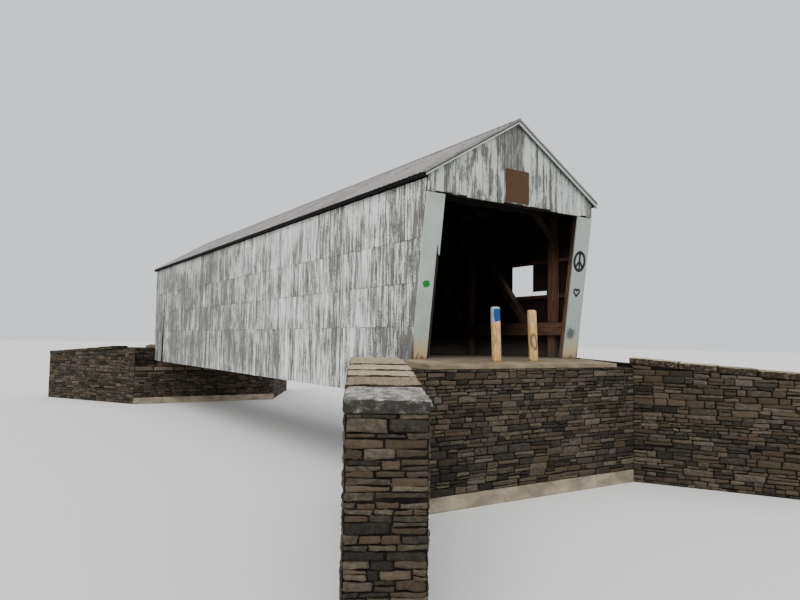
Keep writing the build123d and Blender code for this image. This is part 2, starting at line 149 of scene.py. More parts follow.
# Steps in which the edges of one timber pass on their lowest number
LONGEST_CHAIN = 40

# Bollards on the near threshold, which falls away from the portal: place across, height and lean
THRESHOLD_DROP = 0.02
THRESHOLD_FALL = 0.08
BOLLARD_DISTANCE = 0.45
BOLLARD_X = -HALF_LENGTH - BOLLARD_DISTANCE
BOLLARD_FOOT = FLOOR - THRESHOLD_DROP - THRESHOLD_FALL * BOLLARD_DISTANCE
BOLLARD_RADIUS = 0.105
BOLLARD_SIDES = 48
BOLLARD_SUNK = 0.018
BOLLARDS = ((0.545, 1.177, math.radians(2.4)), (-0.545, 1.15, math.radians(3.1)))

# Middle of a grey smudge on the near right casing
SMUDGE = (-HALF_LENGTH - LEAN[-1] * 0.59 / OPENING, -2.132, FLOOR + 0.59)

# Directions along the bridge, across it and up
X, Y, Z = (1, 0, 0), (0, 1, 0), (0, 0, 1)

# Directions on plan from the bollards to the road's left bend, and across that
ROADWARD = (-0.84, 0.543)
CROSSWISE = (-0.543, -0.84)


def srgb(code):
    """Linear red, green and blue of an sRGB hex colour."""
    parts = [int(code[n:n + 2], 16) / 255 for n in (1, 3, 5)]
    return tuple(c / 12.92 if c <= 0.04045 else ((c + 0.055) / 1.055) ** 2.4 for c in parts)


def opaque(colour):
    """A linear colour or an sRGB hex code with full alpha, as node sockets take it."""
    return (*(srgb(colour) if isinstance(colour, str) else colour[:3]), 1.0)


# Meshes


class Gathered:
    """Points, faces, finishes and shades of many small solids that become one mesh."""

    def __init__(self):
        self.points = []
        self.faces = []
        self.finishes = []
        self.shades = []
        self.count = 0

    def add(self, plane, points, groups, shade=0.5):
        """Adds points (n, 3) placed on a plane, and groups of faces over them, each with its finish.

        The faces are reversed on a mirrored plane.
        """
        for faces, finish in groups:
            ordered = faces[:, ::-1] if plane.turned else faces
            self.faces.extend((ordered + self.count).tolist())
            self.finishes.append(np.full(len(faces), finish, np.int32))
        self.points.append(plane.place(points))
        self.shades.append(np.broadcast_to(shade, len(points)))
        self.count += len(points)

    def piece(self, name, materials, slot, smooth=False):
        """Makes the mesh and its object."""
        mesh = bpy.data.meshes.new(name)
        mesh.from_pydata(np.concatenate(self.points), [], self.faces)
        for material in materials:
            mesh.materials.append(material)
        mesh.polygons.foreach_set("material_index", np.concatenate(self.finishes))
        mesh.polygons.foreach_set("use_smooth", np.full(len(mesh.polygons), smooth))
        mesh.update()
        return stand(name, mesh, np.concatenate(self.shades))


class Face:
    """A flat face in space: u and v lie in it and d stands out of it."""

    def __init__(self, origin, along, up, out):
        self.origin = np.asarray(origin, float)
        self.axes = np.stack([np.asarray(a, float) for a in (along, up, out)])
        self.turned = np.linalg.det(self.axes) < 0

    def place(self, points):
        """Points (n, 3) of u, v and d, as points in space: the origin plus each times its direction."""
        return self.origin + points @ self.axes


class Round:
    """A leaning post's round face: u runs round it from the road side, v up its axis and d stands out."""

    turned = False

    def __init__(self, foot, axis, radius):
        self.foot = np.asarray(foot, float)
        self.axis = np.asarray(axis, float)
        self.radius = radius
        self.front = np.array((*ROADWARD, 0.0))
        self.side = np.array((*CROSSWISE, 0.0))

    def place(self, points):
        """The axis at v, plus the radius and d along the direction at the angle u over the radius."""
        angle = points[:, 0] / self.radius
        out = np.outer(np.cos(angle), self.front) + np.outer(np.sin(angle), self.side)
        return self.foot + np.outer(points[:, 1], self.axis) + (self.radius + points[:, 2])[:, None] * out


def inset(quads, width):
    """Outlines (n, k, 2), counter-clockwise, with every edge moved inwards by a width.

    Each corner moves by the width times the sum of its two inward normals over one plus their product.
    """
    edges = np.roll(quads, -1, axis=1) - quads
    edges = edges / np.linalg.norm(edges, axis=2, keepdims=True)
    after = np.stack([-edges[..., 1], edges[..., 0]], axis=-1)
    before = np.roll(after, 1, axis=1)
    bisector = (before + after) / (1 + (before * after).sum(-1, keepdims=True))
    return quads + width * bisector


def repeated(faces, count, step):
    """Faces over the points of a count of like solids, with a step from each to the next."""
    return (faces[None] + step * np.arange(count)[:, None, None]).reshape(-1, faces.shape[-1])


def ring_walls(size, rings):
    """Quads between rings of a size, whose points are numbered ring after ring."""
    side = np.arange(size)
    ahead = np.roll(side, -1)
    return repeated(np.stack([side, ahead, ahead + size, side + size], axis=1), rings - 1, size)


def grid_quads(index):
    """Quads between the neighbours in a grid of point numbers. A transposed grid turns them over."""
    corners = (index[:-1, :-1], index[1:, :-1], index[1:, 1:], index[:-1, 1:])
    return np.stack(corners, axis=-1).reshape(-1, 4)


def grid_rim(index):
    """Point numbers round a grid's border."""
    return np.concatenate([index[:-1, 0], index[-1, :-1], index[:0:-1, -1], index[0, :0:-1]])


def quads_of(*corners):
    """Quads (n, 4, 2) from the (u, v) of their four corners, each an array of n."""
    return np.stack([np.stack(corner, -1) for corner in corners], axis=1)


def blend(corners, s, t):
    """Points over quads at shares s from the first corner to the second, and t from these to the others."""
    s, t = s[..., None], t[..., None]
    first, second, third, fourth = corners
    return (first * (1 - s) + second * s) * (1 - t) + (fourth * (1 - s) + third * s) * t


def slabs(outlines, back, front, ease, inside=1, spread=0.0):
    """Flat slabs over outlines (n, k, 2), from depth back to depth front, with the front arrises eased.

    Three rings of corners: the outline at the back, moved out by spread so that a joint is closed there,
    the outline just below the front, and the outline moved in by the ease at the front. Returns points,
    and faces of which the backs have the finish inside.
    """
    count, corners = outlines.shape[:2]
    back, front = (np.broadcast_to(value, count)[:, None] for value in (back, front))
    rings = [(inset(outlines, -spread), back), (outlines, front - ease), (inset(outlines, ease), front)]
    points = [np.dstack([ring, np.broadcast_to(depth, (count, corners))]) for ring, depth in rings]
    points = np.concatenate(points, axis=1).reshape(-1, 3)
    ring = np.arange(corners)[None]
    faces = ((ring_walls(corners, 3), 0), (ring + 2 * corners, 0), (ring[:, ::-1], inside))
    return points, tuple((repeated(group, count, 3 * corners), finish) for group, finish in faces)


def joints_along(rng, start, stop, width, spread=0.12):
    """Joints from start to stop: random widths about the set one, scaled to fill the length."""
    count = max(1, round(abs(stop - start) / width))
    widths = rng.normal(1, spread, count).clip(0.55, 1.6)
    return start + (stop - start) * np.concatenate([[0], np.cumsum(widths) / widths.sum()])


def board_quads(feet, heads, low, high, gap):
    """Quads of boards between joints given at their feet and at their heads, as (along, height)."""
    low, high = (np.broadcast_to(value, len(feet) - 1) for value in (low, high))
    foot_left, foot_right, head_left, head_right = (
        edge for joints in (feet, heads) for edge in (joints[:-1] + gap / 2, joints[1:] - gap / 2)
    )
    return quads_of((foot_left, low), (foot_right, low), (head_right, high), (head_left, high))


def portal(end, height, depth=0.0):
    """X of the portal's leaning face at a height, or of a plane at a depth behind it."""
    return end * (HALF_LENGTH + LEAN[end] * min(height, OPENING) / OPENING - depth)


def roof_height(y):
    """Height of the roof's surface at y."""
    return RIDGE - ROOF_SLOPE * np.abs(y)


def stand(name, mesh, shades):
    """Makes a mesh, with its points' shades, an object that rides on the one body."""
    attribute = mesh.attributes.new("shade", "FLOAT", "POINT")
    attribute.data.foreach_set("value", shades.astype(np.float32))
    made = bpy.data.objects.new(name, mesh)
    bpy.context.scene.collection.objects.link(made)
    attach(made, "root")
    return made


# Finishes


# The settings that a kind of node has wherever it is used
USUAL = {
    "Mix": {"data_type": "RGBA"},
    "MapRange": {"interpolation_type": "SMOOTHSTEP"},
    "Mapping": {"vector_type": "TEXTURE"},
    "Attribute": {"attribute_name": "shade"},
}
# How far a solid's shade of 1 moves its pattern, in metres
SHIFT = (37.0, 23.0, 51.0)


class Look:
    """A material of one shader while its nodes are joined up. A colour is a link, linear or a hex code."""

    def __init__(self, name, folded=False, whole=False):
        """folded mirrors the pattern about the bridge's middle planes, and whole runs it over all solids."""
        self.material = bpy.data.materials.new(name)
        self.material.use_nodes = True
        self.tree = self.material.node_tree
        self.folded = folded
        self.whole = whole

    def add(self, kind, *inputs, out=0, stops=(), **settings):
        """Adds a node and returns its output, or outputs. A kind may name its operation after a space.

        The sockets that the settings leave in use take the inputs in turn, each a link or a value. stops
        are a ramp's places and colours.
        """
        kind, _, operation = kind.partition(" ")
        made = self.tree.nodes.new("ShaderNode" + kind)
        settings = {**USUAL.get(kind, {}), **settings, **({"operation": operation} if operation else {})}
        for name, value in settings.items():
            setattr(made, name, value)
        for socket, value in zip([socket for socket in made.inputs if socket.enabled], inputs):
            self.join(value, socket)
        for number, (place, colour) in enumerate(stops):
            ramp = made.color_ramp.elements
            stop = ramp[number] if number < 2 else ramp.new(place)
            stop.position = place
            stop.color = opaque(colour)
        return [socket for socket in made.outputs if socket.enabled][out]

    def join(self, value, socket):
        """Links an output to a socket, or sets the socket to a value."""
        if isinstance(value, bpy.types.NodeSocket):
            self.tree.links.new(value, socket)
        else:
            socket.default_value = opaque(value) if socket.type == "RGBA" else value

    def done(self, colour, roughness, height=None, distance=0.002, metallic=0.0, specular=0.5):
        """Joins a colour, a roughness and a bump height to the shader, and returns the material."""
        values = {"Base Color": colour, "Roughness": roughness}
        values.update({"Metallic": metallic, "Specular IOR Level": specular})
        if height is not None:
            values["Normal"] = self.add("Bump", 1.0, distance, 0.1, height)
        for name, value in values.items():
            self.join(value, self.tree.nodes["Principled BSDF"].inputs[name])
        return self.material

    @cached_property
    def place(self):
        """Object coordinates."""
        return self.add("TexCoord", out=3)

    @cached_property
    def axes(self):
        """Object coordinates as x, y and z."""
        return self.add("SeparateXYZ", self.place, out=slice(3))

    @cached_property
    def level(self):
        """Height above the floor."""
        return self.add("Math SUBTRACT", self.axes[2], FLOOR)

    @cached_property
    def shade(self):
        """The random number that each board, stone or timber carries."""
        return self.add("Attribute", out=2)

    @cached_property
    def coords(self):
        """Object coordinates, moved by each solid's own shade so that no two boards or stones match."""
        if self.whole:
            return self.place
        place = self.add("VectorMath ABSOLUTE", self.place) if self.folded else self.place
        return self.add("VectorMath MULTIPLY_ADD", self.shade, SHIFT, place)

    def noise(self, size, detail=4.0, roughness=0.55, turn=(0.0, 0.0, 0.0), coords=None):
        """Noise from 0 to 1 whose spots measure size, one length or (x, y, z), along axes turned by turn."""
        size = size if isinstance(size, tuple) else (size, size, size)
        placed = self.add("Mapping", coords or self.coords, (0.0, 0.0, 0.0), turn, size)
        return self.add("TexNoise", placed, 1.0, detail, roughness)

    def total(self, start, *terms):
        """A start plus each value times its weight: the terms are values and weights in turn."""
        for value, weight in zip(terms[::2], terms[1::2]):
            start = self.add("Math MULTIPLY_ADD", value, weight, start)
        return start

    def cover(self, under, over, value, low, high, share=1.0):
        """A colour that another covers by up to a share, rising as a value goes from low to high."""
        return self.add("Mix", self.add("MapRange", value, low, high, 0.0, share), under, over)


def flaking_paint(name, fresh, dull, bare, worn, along, streak=0.85):
    """Chalky white oil paint flaking off weathered softwood: white streaks over silver-grey grain.

    The paint has gone in upright streaks, a few centimetres wide and streak long, whole boards are barer
    than others, and the streaks' edges are ragged with flakes. A higher bare shows more wood, and worn
    gives, from the object's coordinates, where weather or splashes have taken more of the paint. The
    boards' sawn edges, which face along the wall (axis 0 or 1), are nearly black: unpainted wood, made
    darker still as painted shade in the joints and in the slit.
    """
    look = Look(name)
    wide = look.noise((0.065, 0.065, streak), 3.0, 0.6)
    thin = look.noise((0.02, 0.02, 0.34), 4.0, 0.65)
    flakes = look.noise((0.018, 0.018, 0.035), 3.0)
    zones = look.noise((1.1, 1.1, 0.8), 3.0, coords=look.place)
    grain = look.noise((0.012, 0.012, 0.3), 4.0, 0.6)
    held = look.total(thin, wide, 1.2, flakes, 0.7, zones, 0.5, look.shade, 0.2, worn(look), -1.0)
    paint = look.add("MapRange", held, bare - 0.03, bare + 0.03)
    wood = look.add("ValToRGB", grain, stops=((0.32, "#3a3835"), (0.5, "#65635f"), (0.68, "#8a8883")))
    colour = look.add("Mix", paint, wood, look.cover(dull, fresh, held, bare, bare + 0.35))
    # Painted shade in part: the boards' sawn edges go nearly black, for unpainted wood and for the shade in
    # the joints and the slit
    edge = look.add("Math ABSOLUTE", look.add("SeparateXYZ", look.add("NewGeometry", out=1), out=along))
    colour = look.cover(colour, "#14110f", edge, 0.75, 0.9)
    return look.done(colour, 0.8, look.total(grain, paint, 0.5), 0.0012, specular=0.2)


def side_wear(look):
    """More wood by the near portal and towards the far end, less in the rain's shadow under the eaves."""
    x = look.axes[0]
    low = look.add("MapRange", look.level, 2.6, 0.2)
    splashed = look.total(0.09, low, 0.1)
    portal_end = look.add("MapRange", x, 2.4 - HALF_LENGTH, 0.2 - HALF_LENGTH, 0.0, splashed)
    far_end = look.add("MapRange", x, -8.0, 6.0)
    eaves = look.add("MapRange", look.level, WALL_HEAD - 0.9, WALL_HEAD - 0.1)
    return look.total(portal_end, far_end, 0.17, eaves, -0.08)


def gable_wear(look):
    """More wood left of the centre line, most of all under the apex, and less on the right."""
    y = look.axes[1]
    left = look.total(0.35, look.add("MapRange", y, -1.7, 0.4), 0.7)
    blotches = look.noise((0.5, 0.2, 0.6), 3.0, coords=look.place)
    worn = look.add("MapRange", blotches, 0.42, 0.6, 0.0, left)
    beside = look.add("Math ABSOLUTE", look.add("Math SUBTRACT", y, 0.22))
    apex = look.add("MapRange", beside, 0.42, 0.16, 0.0, look.add("MapRange", look.level, 4.0, 4.4))
    return look.total(0.0, worn, 0.36, apex, 0.34)


def aged_wood(name, colours, turn=(0.0, 0.0, 0.0), folded=False, shaded=False):
    """Aged unpainted timber: long dark grain along x, turned with the member, with drying cracks.

    The grain's lines are drawn 12 mm apart, as coarse as they need to show. The roughness stays high
    because the surface is bare, dry and dusty. Painted shade darkens the wood away from the portals'
    daylight and high up under the roof, and road dust has settled near the floor. Where shaded is set,
    painted shade makes the left-hand members nearly black.
    """
    look = Look(name, folded)
    x, y, _ = look.axes
    grain = look.noise((0.45, 0.012, 0.012), 4.0, 0.6, turn)
    broad = look.noise((2.5, 0.07, 0.07), 2.0, turn=turn)
    checks = look.noise((0.7, 0.006, 0.006), 1.0, turn=turn)
    wood = look.add("ValToRGB", grain, stops=zip((0.32, 0.52, 0.7), colours))
    wood = look.cover(wood, colours[0], look.total(0.0, look.shade, 0.35, broad, 0.9), 0.95, 0.25, 0.45)
    # Painted shade: darker high up, under the roof
    wood = look.cover(wood, "#120e0b", look.level, 1.9, 3.0, 0.85)
    # Painted shade: darker away from the portals, deeper inside the bridge
    inside = look.add("Math ABSOLUTE", x)
    wood = look.cover(wood, "#0c0a08", inside, HALF_LENGTH - 0.6, HALF_LENGTH - 2.4, 0.8)
    wood = look.cover(wood, "#6b6055", look.level, 0.75, 0.1, 0.5)
    # Painted shade: the left-hand members nearly black
    if shaded:
        wood = look.cover(wood, "#0c0a09", y, -0.1, 0.1, 0.75)
    cracked = look.add("MapRange", checks, 0.3, 0.24)
    wood = look.add("Mix", cracked, wood, "#14100c")
    return look.done(wood, 0.85, look.total(grain, cracked, -0.7), 0.002, specular=0.2)


def eave_finish(name, settings):
    """Sawn boards along the eaves: near black on the left, painted shade under the overhang, and pale paint
    like the rake boards' on the right.
    """
    look = Look(name, whole=True)
    grain = look.noise((0.45, 0.012, 0.012))
    # Painted shade: the left board near black, for the shade under the eaves' overhang
    shade_black = look.cover("#050505", "#14110e", grain, 0.35, 0.7)
    paint = look.cover(settings.trim_dull, settings.trim, grain, 0.4, 0.6)
    return look.done(look.cover(shade_black, paint, look.axes[1], 0.01, -0.01), 0.85, grain, 0.001, specular=0.1)


def rough_stone(name, colours, size=0.09, pecked=0.0, blotched=0.0, tint=None, sides=None):
    """Quarry-faced sandstone and limestone: each stone its own tone, with beds, grit and stains.

    pecked is how strongly the pits of the dressing hammer, 25 mm apart, mark the face, and blotched is how
    dark its hand-wide blotches of lichen are. tint is a second colour that some stones lean to. Where
    sides is given, the upright faces take that darker colour as painted shade, and the tops stay lighter,
    as if lit from above.
    """
    look = Look(name)
    cloud = look.noise((size, size, size * 0.6), 6.0, 0.65)
    beds = look.noise((size * 4, size * 4, size * 0.2))
    grit = look.noise(0.01, 2.0)
    pits = look.noise((0.04, 0.04, 0.014), 4.0, 0.65)
    tone = look.total(0.0, cloud, 0.55, look.shade, 0.35, beds, 0.15)
    colour = look.add("ValToRGB", tone, stops=zip((0.36, 0.53, 0.72), colours))
    if tint:
        luck = look.add("Math FRACT", look.add("Math MULTIPLY", look.shade, 7.3))
        colour = look.cover(colour, tint, luck, 0.35, 0.9, 0.6)
    colour = look.cover(colour, colours[2], grit, 0.5, 0.72, 0.35)
    if pecked:
        pecks = look.noise(0.025, 3.0, 0.6)
        colour = look.cover(colour, colours[0], pecks, 0.5, 0.38, pecked)
        colour = look.cover(colour, "#d8cdb8", pecks, 0.52, 0.66, pecked)
    if blotched:
        colour = look.cover(colour, colours[0], look.noise(0.22, 6.0, 0.75), 0.56, 0.42, blotched)
    # Painted shade: the upright faces take the darker sides colour, the tops stay lighter
    if sides:
        upward = look.add("SeparateXYZ", look.add("NewGeometry", out=1), out=2)
        stained = look.cover(sides, colour, cloud, 0.45, 0.7, 0.35)
        colour = look.cover(stained, colour, look.total(upward, cloud, 0.5), 0.85, 1.15)
    colour = look.cover(colour, "#1b1815", pits, 0.44, 0.34, 0.65)
    return look.done(colour, 0.92, look.total(cloud, grit, 0.3, pits, 0.8), 0.014, specular=0.2)


def mortar(name, colour):
    """The bed between dry-laid stones: earth and old lime, sandy and nearly black with damp and shade."""
    look = Look(name, whole=True)
    sand = look.noise(0.01)
    dirt = look.noise((0.5, 0.5, 0.3), 3.0)
    earth = look.cover("#0f0d0b", colour, dirt, 0.35, 0.7)
    return look.done(look.cover(earth, "#0c0a09", sand, 0.7, 0.3, 0.4), 0.95, sand, 0.004, specular=0.1)


def cast_concrete(name, light, dark):
    """Weathered cast concrete: sand-coloured, stained in clouds, with fine pores and crumbled spots."""
    look = Look(name, whole=True)
    clouds = look.noise((0.6, 0.6, 0.3), 5.0)
    pores = look.noise(0.008, 3.0)
    spalls = look.noise((0.05, 0.05, 0.02), 5.0, 0.65)
    colour = look.cover(dark, light, clouds, 0.32, 0.68)
    colour = look.cover(colour, "#3c362d", spalls, 0.44, 0.34, 0.5)
    colour = look.cover(colour, "#4f493f", pores, 0.4, 0.3)
    return look.done(colour, 0.9, look.total(spalls, pores, 0.4), 0.004, specular=0.25)


def roofing_metal(name, settings):
    """Galvanised ribbed steel, dulled to a warm grey: faint runs down the slope, each sheet near in tone."""
    look = Look(name)
    bloom = look.noise(0.3, 6.0, 0.7)
    tone = look.total(bloom, look.noise((0.05, 0.9, 0.9)), 0.5, look.shade, 0.15)
    colour = look.cover(settings.metal_dull, settings.metal, tone, 0.6, 0.98)
    return look.done(colour, 0.6, bloom, 0.0004, metallic=0.25)


def worn_trim(name, settings, foot):
    """Pale oil paint on planed boards: smooth, with hairline cracks and chips.

    With foot, tan water stains rise from the threshold, dark rust sits at the very bottom, and the paint
    is pitted below the middle. Without it, dark lines of painted shadow run under the roof's edge and
    along the foot.
    """
    look = Look(name)
    _, y, z = look.axes
    across = look.add("Math ABSOLUTE", y)
    chips = look.noise((0.02, 0.02, 0.25), 5.0, 0.65)
    cloud = look.noise((0.6, 0.6, 0.9), 3.0, coords=look.place)
    lit = look.total(0.2, look.add("MapRange", y, -0.1, 0.1), 0.8)
    colour = look.cover(settings.trim_dull, settings.trim, cloud, 0.25, 0.65, lit)
    bare = look.add("MapRange", look.total(chips, cloud, 0.25), 0.46, 0.42)
    colour = look.add("Mix", bare, colour, "#77746d")
    if foot:
        specks = look.noise((0.03, 0.03, 0.045), 2.0)
        pitted = look.add("MapRange", look.level, 1.5, 1.2)
        colour = look.cover(colour, "#4a4741", specks, 0.36, 0.31, pitted)
        smudge = look.total(look.add("VectorMath DISTANCE", look.place, SMUDGE), specks, 0.2)
        colour = look.cover(colour, "#474a48", smudge, 0.29, 0.17, 0.9)
        soaked = look.total(look.level, look.noise((0.07, 0.07, 0.3), 3.0), -0.5)
        colour = look.cover(colour, "#b3a27c", soaked, 0.3, -0.1)
        colour = look.cover(colour, "#75583a", soaked, -0.16, -0.28)
        corner = look.total(across, look.level, -0.12)
        colour = look.cover(colour, "#4c4036", corner, HALF_WIDTH - 0.085, HALF_WIDTH - 0.02)
    else:
        drop = look.total(FLOOR + RIDGE, across, -ROOF_SLOPE, z, -1.0)
        # Painted shadow lines: under the flashing's edge and along the rake board's foot
        for low, high in ((0.085, 0.07), (RAKE_FOOT - 0.024, RAKE_FOOT - 0.014)):
            colour = look.cover(colour, "#2a2826", drop, low, high)
    return look.done(colour, 0.62, look.total(chips, bare, -0.6), 0.0008, specular=0.35)


def plain_paint(name, colour, worn):
    """Brushed paint, a little uneven and rubbed."""
    look = Look(name, whole=True)
    brush = look.noise((0.02, 0.02, 0.15))
    return look.done(look.cover(worn, colour, brush, 0.35, 0.75), 0.75, brush, 0.0006, specular=0.25)


def rusty_iron(name):
    """Rusted iron nail heads and bolts: dark brown, dull and grainy."""
    look = Look(name, whole=True)
    rust = look.noise(0.006, 3.0)
    return look.done(look.cover("#1d1a18", "#3d2c22", rust, 0.35, 0.65), 0.8, rust, 0.0005, metallic=0.4)


def bollard_finish(name, settings):
    """Tan paint on round posts, cracked along the grain: on the left post a white top with a blue patch.

    The white ends and the blue begins along a line that climbs towards the right as seen from the road.
    """
    look = Look(name, whole=True)
    x, y, z = look.axes
    cracks = look.noise((0.014, 0.014, 0.16), 4.0, 0.65)
    cloud = look.noise((0.09, 0.09, 0.2))
    tan = look.cover(settings.bollard_dull, settings.bollard, cloud, 0.35, 0.68)
    left = look.add("MapRange", y, -0.01, 0.01)
    tan = look.cover(tan, "#6f5135", look.total(cracks, left, -0.045), 0.41, 0.34)
    middle, _, lean = BOLLARDS[0]
    slant = math.tan(lean)
    beside = look.total(BOLLARD_FOOT * slant - middle, z, -slant, y, 1.0)
    ahead = look.add("Math SUBTRACT", x, BOLLARD_X)
    across, front = (look.total(0.0, ahead, way[0], beside, way[1]) for way in (CROSSWISE, ROADWARD))
    edge = look.total(look.level, across, -0.27, cloud, 0.03)
    band = look.add("MapRange", edge, 0.805, 0.82, 0.0, left)
    above = look.add("Math SUBTRACT", look.level, 0.95)
    curved = look.total(across, look.add("Math MULTIPLY", above, above), -1.2)
    patch = band
    for value, low, high in ((curved, -0.06, -0.052), (look.level, 1.085, 1.07), (front, 0.0, 0.02)):
        patch = look.add("MapRange", value, low, high, 0.0, patch)
    colour = look.add("Mix", patch, look.add("Mix", band, tan, "#9fabb2"), settings.patch)
    return look.done(colour, 0.7, cracks, 0.0015, specular=0.3)


# Settings


def size_property(name, description, default):
    """A length that a user may change."""
    return FloatProperty(name=name, description=description, default=default, min=0.0, unit="LENGTH")


def colour_property(name, description, code):
    """A colour that a user may change, from its sRGB hex code."""
    return FloatVectorProperty(
        name=name, description=description, default=srgb(code), subtype="COLOR", min=0.0, max=1.0
    )


class BridgeBoards(PropertyGroup):
    """Measures and paints of the walls, gables and floor."""
    board_width: size_property("Board width", "Mean width of the side boards", 0.235)
    gable_width: size_property("Gable board width", "Mean width of the gable boards", 0.205)
    gap: size_property("Gap", "Open joint between two boards", 0.009)
    ease: size_property("Arris", "Rounding of the boards' front arrises", 0.003)
    plank_width: size_property("Plank width", "Mean width of the floor planks", 0.2)
    paint: colour_property("Paint", "White paint where it holds", "#e4e6e1")
    paint_dull: colour_property("Dull paint", "White paint where it is thin and dirty", "#c3c5c0")
    gable_paint: colour_property("Gable paint", "White paint of the gables where it holds", "#bbc0ba")
    gable_dull: colour_property("Dull gable paint", "White paint of the gables where it is thin", "#a2a7a1")
    trim: colour_property("Trim", "Pale paint of the casings and rake boards", "#a9b1aa")
    trim_dull: colour_property("Dull trim", "Pale paint where it is thin", "#989f98")


class BridgeRoof(PropertyGroup):
    """Measures and metals of the roofing."""
    pitch: size_property("Pitch", "Distance from rib to rib of the roofing", 0.2)
    rib_width: size_property("Rib", "Width of a rib at its foot", 0.06)
    ribs_a_sheet: IntProperty(name="Ribs a sheet", description="Pitches a sheet covers", default=3, min=1)
    metal: colour_property("Metal", "Dull roofing metal", "#918c89")
    metal_dull: colour_property("Dirty metal", "Roofing metal where it is stained", "#68635f")


class BridgeStones(PropertyGroup):
    """Measures of the masonry."""
    joint: size_property("Joint", "Joint between two stones", 0.011)
    proud: size_property("Proud", "How far the stones stand out of their bed", 0.03)
    course_low: size_property("Thin course", "Height of the thinnest course", 0.055)
    course_high: size_property("Thick course", "Height of the thickest course", 0.17)
    length: size_property("Stone length", "Mean length of a thick stone", 0.4)
    mortar: colour_property("Bed", "Earth and lime in the joints", "#201c18")


class BridgeTimber(PropertyGroup):
    """Wear of the timbers and paints of the bollards."""
    arris: size_property("Arris", "Wear of the timbers' arrises", 0.008)
    bollard: colour_property("Bollard", "Tan paint of the bollards", "#d9b47c")
    bollard_dull: colour_property("Dull bollard", "Tan paint where it is rubbed", "#b59157")
    patch: colour_property("Patch", "Blue patch on the left bollard", "#0f427c")


class BridgeStage(PropertyGroup):
    """Camera, lights and floor."""
    lens: FloatProperty(name="Lens", description="Focal length in millimetres", default=29.25, min=1.0)
    key: FloatProperty(name="Key", description="Strength of the broad key light", default=2.4, min=0.0)
    sky: FloatProperty(name="Sky", description="Strength of the soft light all round", default=1.2, min=0.0)
    floor: colour_property("Floor", "Pale studio floor", "#d8d8d4")


# Pieces


def wall_joints(columns, side, tier, settings):
    """Joints of one tier of a side wall as runs of (joints at the feet, joints at the heads, foot lift).

    The upright joints stand in the same columns in every tier. The boards at a portal are cut to its lean.
    """
    heights = TIERS[tier:tier + 2]
    near, far = ([portal(end, height, CASING_THICKNESS) for height in heights] for end in (-1, 1))

    def run(start, stop, lift=0.0):
        """A run between two joints, each given at the foot and at the head."""
        inner = columns[(columns > max(start) + NARROWEST) & (columns < min(stop) - NARROWEST)]
        return *(np.concatenate([[first], inner, [last]]) for first, last in zip(start, stop)), lift

    if side > 0:
        drops = [max(0.0, SLIT_HEIGHT - height) / (SLIT_HEIGHT - WALL_FOOT) for height in heights]
        edge = [SLIT_X + SLIT_WIDTH * math.sin(math.pi / 2 * drop) + SLIT_CLEAR for drop in drops]
        steps = np.arange(0, min(far) - max(edge) - NARROWEST_STRIP, settings.board_width)
        strip = (*(np.append(first + steps, last) for first, last in zip(edge, far)), 0.0)
        return [run(near, (SLIT_X, SLIT_X)), strip]
    if tier != GAP_TIER:
        return [run(near, far)]
    short, gap, end = ((x, x) for x in (SHORT_BOARD_X, *GAP_X))
    return [run(near, short), run(short, gap, SHORT_BOARD_LIFT), run(end, far)]


def side_boards(side, settings, rng, nails):
    """Boards of the left (1) or right (-1) wall, in columns that have a shade each."""
    gathered = Gathered()
    plane = Face((0, side * WALL_INNER, FLOOR), X, Z, (0, side, 0))
    columns = joints_along(rng, -HALF_LENGTH - 0.5, HALF_LENGTH + 0.3, settings.board_width, 0.2)
    column_shades = rng.random(len(columns) + 1)
    for tier, (low, high) in enumerate(zip(TIERS, TIERS[1:])):
        for feet, heads, lift in wall_joints(columns, side, tier, settings):
            count = len(feet) - 1
            foot = low + lift + rng.uniform(0.001, 0.01, count)
            head = high - rng.uniform(0.001, 0.008, count)
            quads = board_quads(feet, heads, foot, head, settings.gap)
            shades = column_shades[np.searchsorted(columns, (feet[:-1] + feet[1:]) / 2)]
            add_boards(gathered, plane, quads, HALF_WIDTH - WALL_INNER, settings, rng, nails, shades)
    return gathered


def add_boards(gathered, plane, quads, thickness, settings, rng, nails, shades=None):
    """Adds boards whose faces lie a few millimetres apart, and the places of their nails.

    A board has the shade of its column or, less often, one of its own, so that some streaks of worn paint
    run on from tier to tier and others stop.
    """
    count = len(quads)
    front = thickness - rng.uniform(0.0, 0.004, count)
    points, faces = slabs(quads, 0.0, front, settings.ease, spread=settings.gap / 2)
    if shades is None:
        shades = rng.random(count)
    else:
        shades = np.where(rng.random(count) < COLUMN_SHARE, shades, rng.random(count))
    gathered.add(plane, points, faces, np.repeat(shades, 12))
    nails.append(nail_places(plane, quads, front, rng))


def nail_places(plane, quads, front, rng):
    """Places of two nails in each board at the girts that its feet and its head are nailed to."""
    left, right = quads[:, 0, 0], quads[:, 1, 0]
    spots = []
    for share in (0.22, 0.78):
        for corner, step in ((0, NAIL_EDGE), (3, -NAIL_EDGE)):
            lean = quads[:, corner, 0] - quads[:, 0, 0]
            u = left + share * (right - left) + lean + rng.normal(0, 0.008, len(quads))
            v = quads[:, corner, 1] + step + rng.normal(0, 0.006, len(quads))
            spots.append(np.stack([u, v, front], axis=1))
    return plane, np.concatenate(spots)[np.tile(right - left > NAILED_WIDTH, 4)]


def nail_heads(places, radius, height):
    """Low six-sided nail heads: two hexagons a height apart, the upper one four fifths as wide."""
    gathered = Gathered()
    corner = np.arange(6)
    circle = radius * np.column_stack([np.cos(corner * math.pi / 3), np.sin(corner * math.pi / 3)])
    rings = ((circle, -SUNK), (circle * 0.8, height))
    head = np.concatenate([np.column_stack([ring, np.full(6, level)]) for ring, level in rings])
    shapes = (ring_walls(6, 2), np.stack([corner[::-1], corner + 6]))
    for plane, spots in places:
        faces = tuple((repeated(shape, len(spots), 12), 0) for shape in shapes)
        gathered.add(plane, (spots[:, None] + head[None]).reshape(-1, 3), faces)
    return gathered


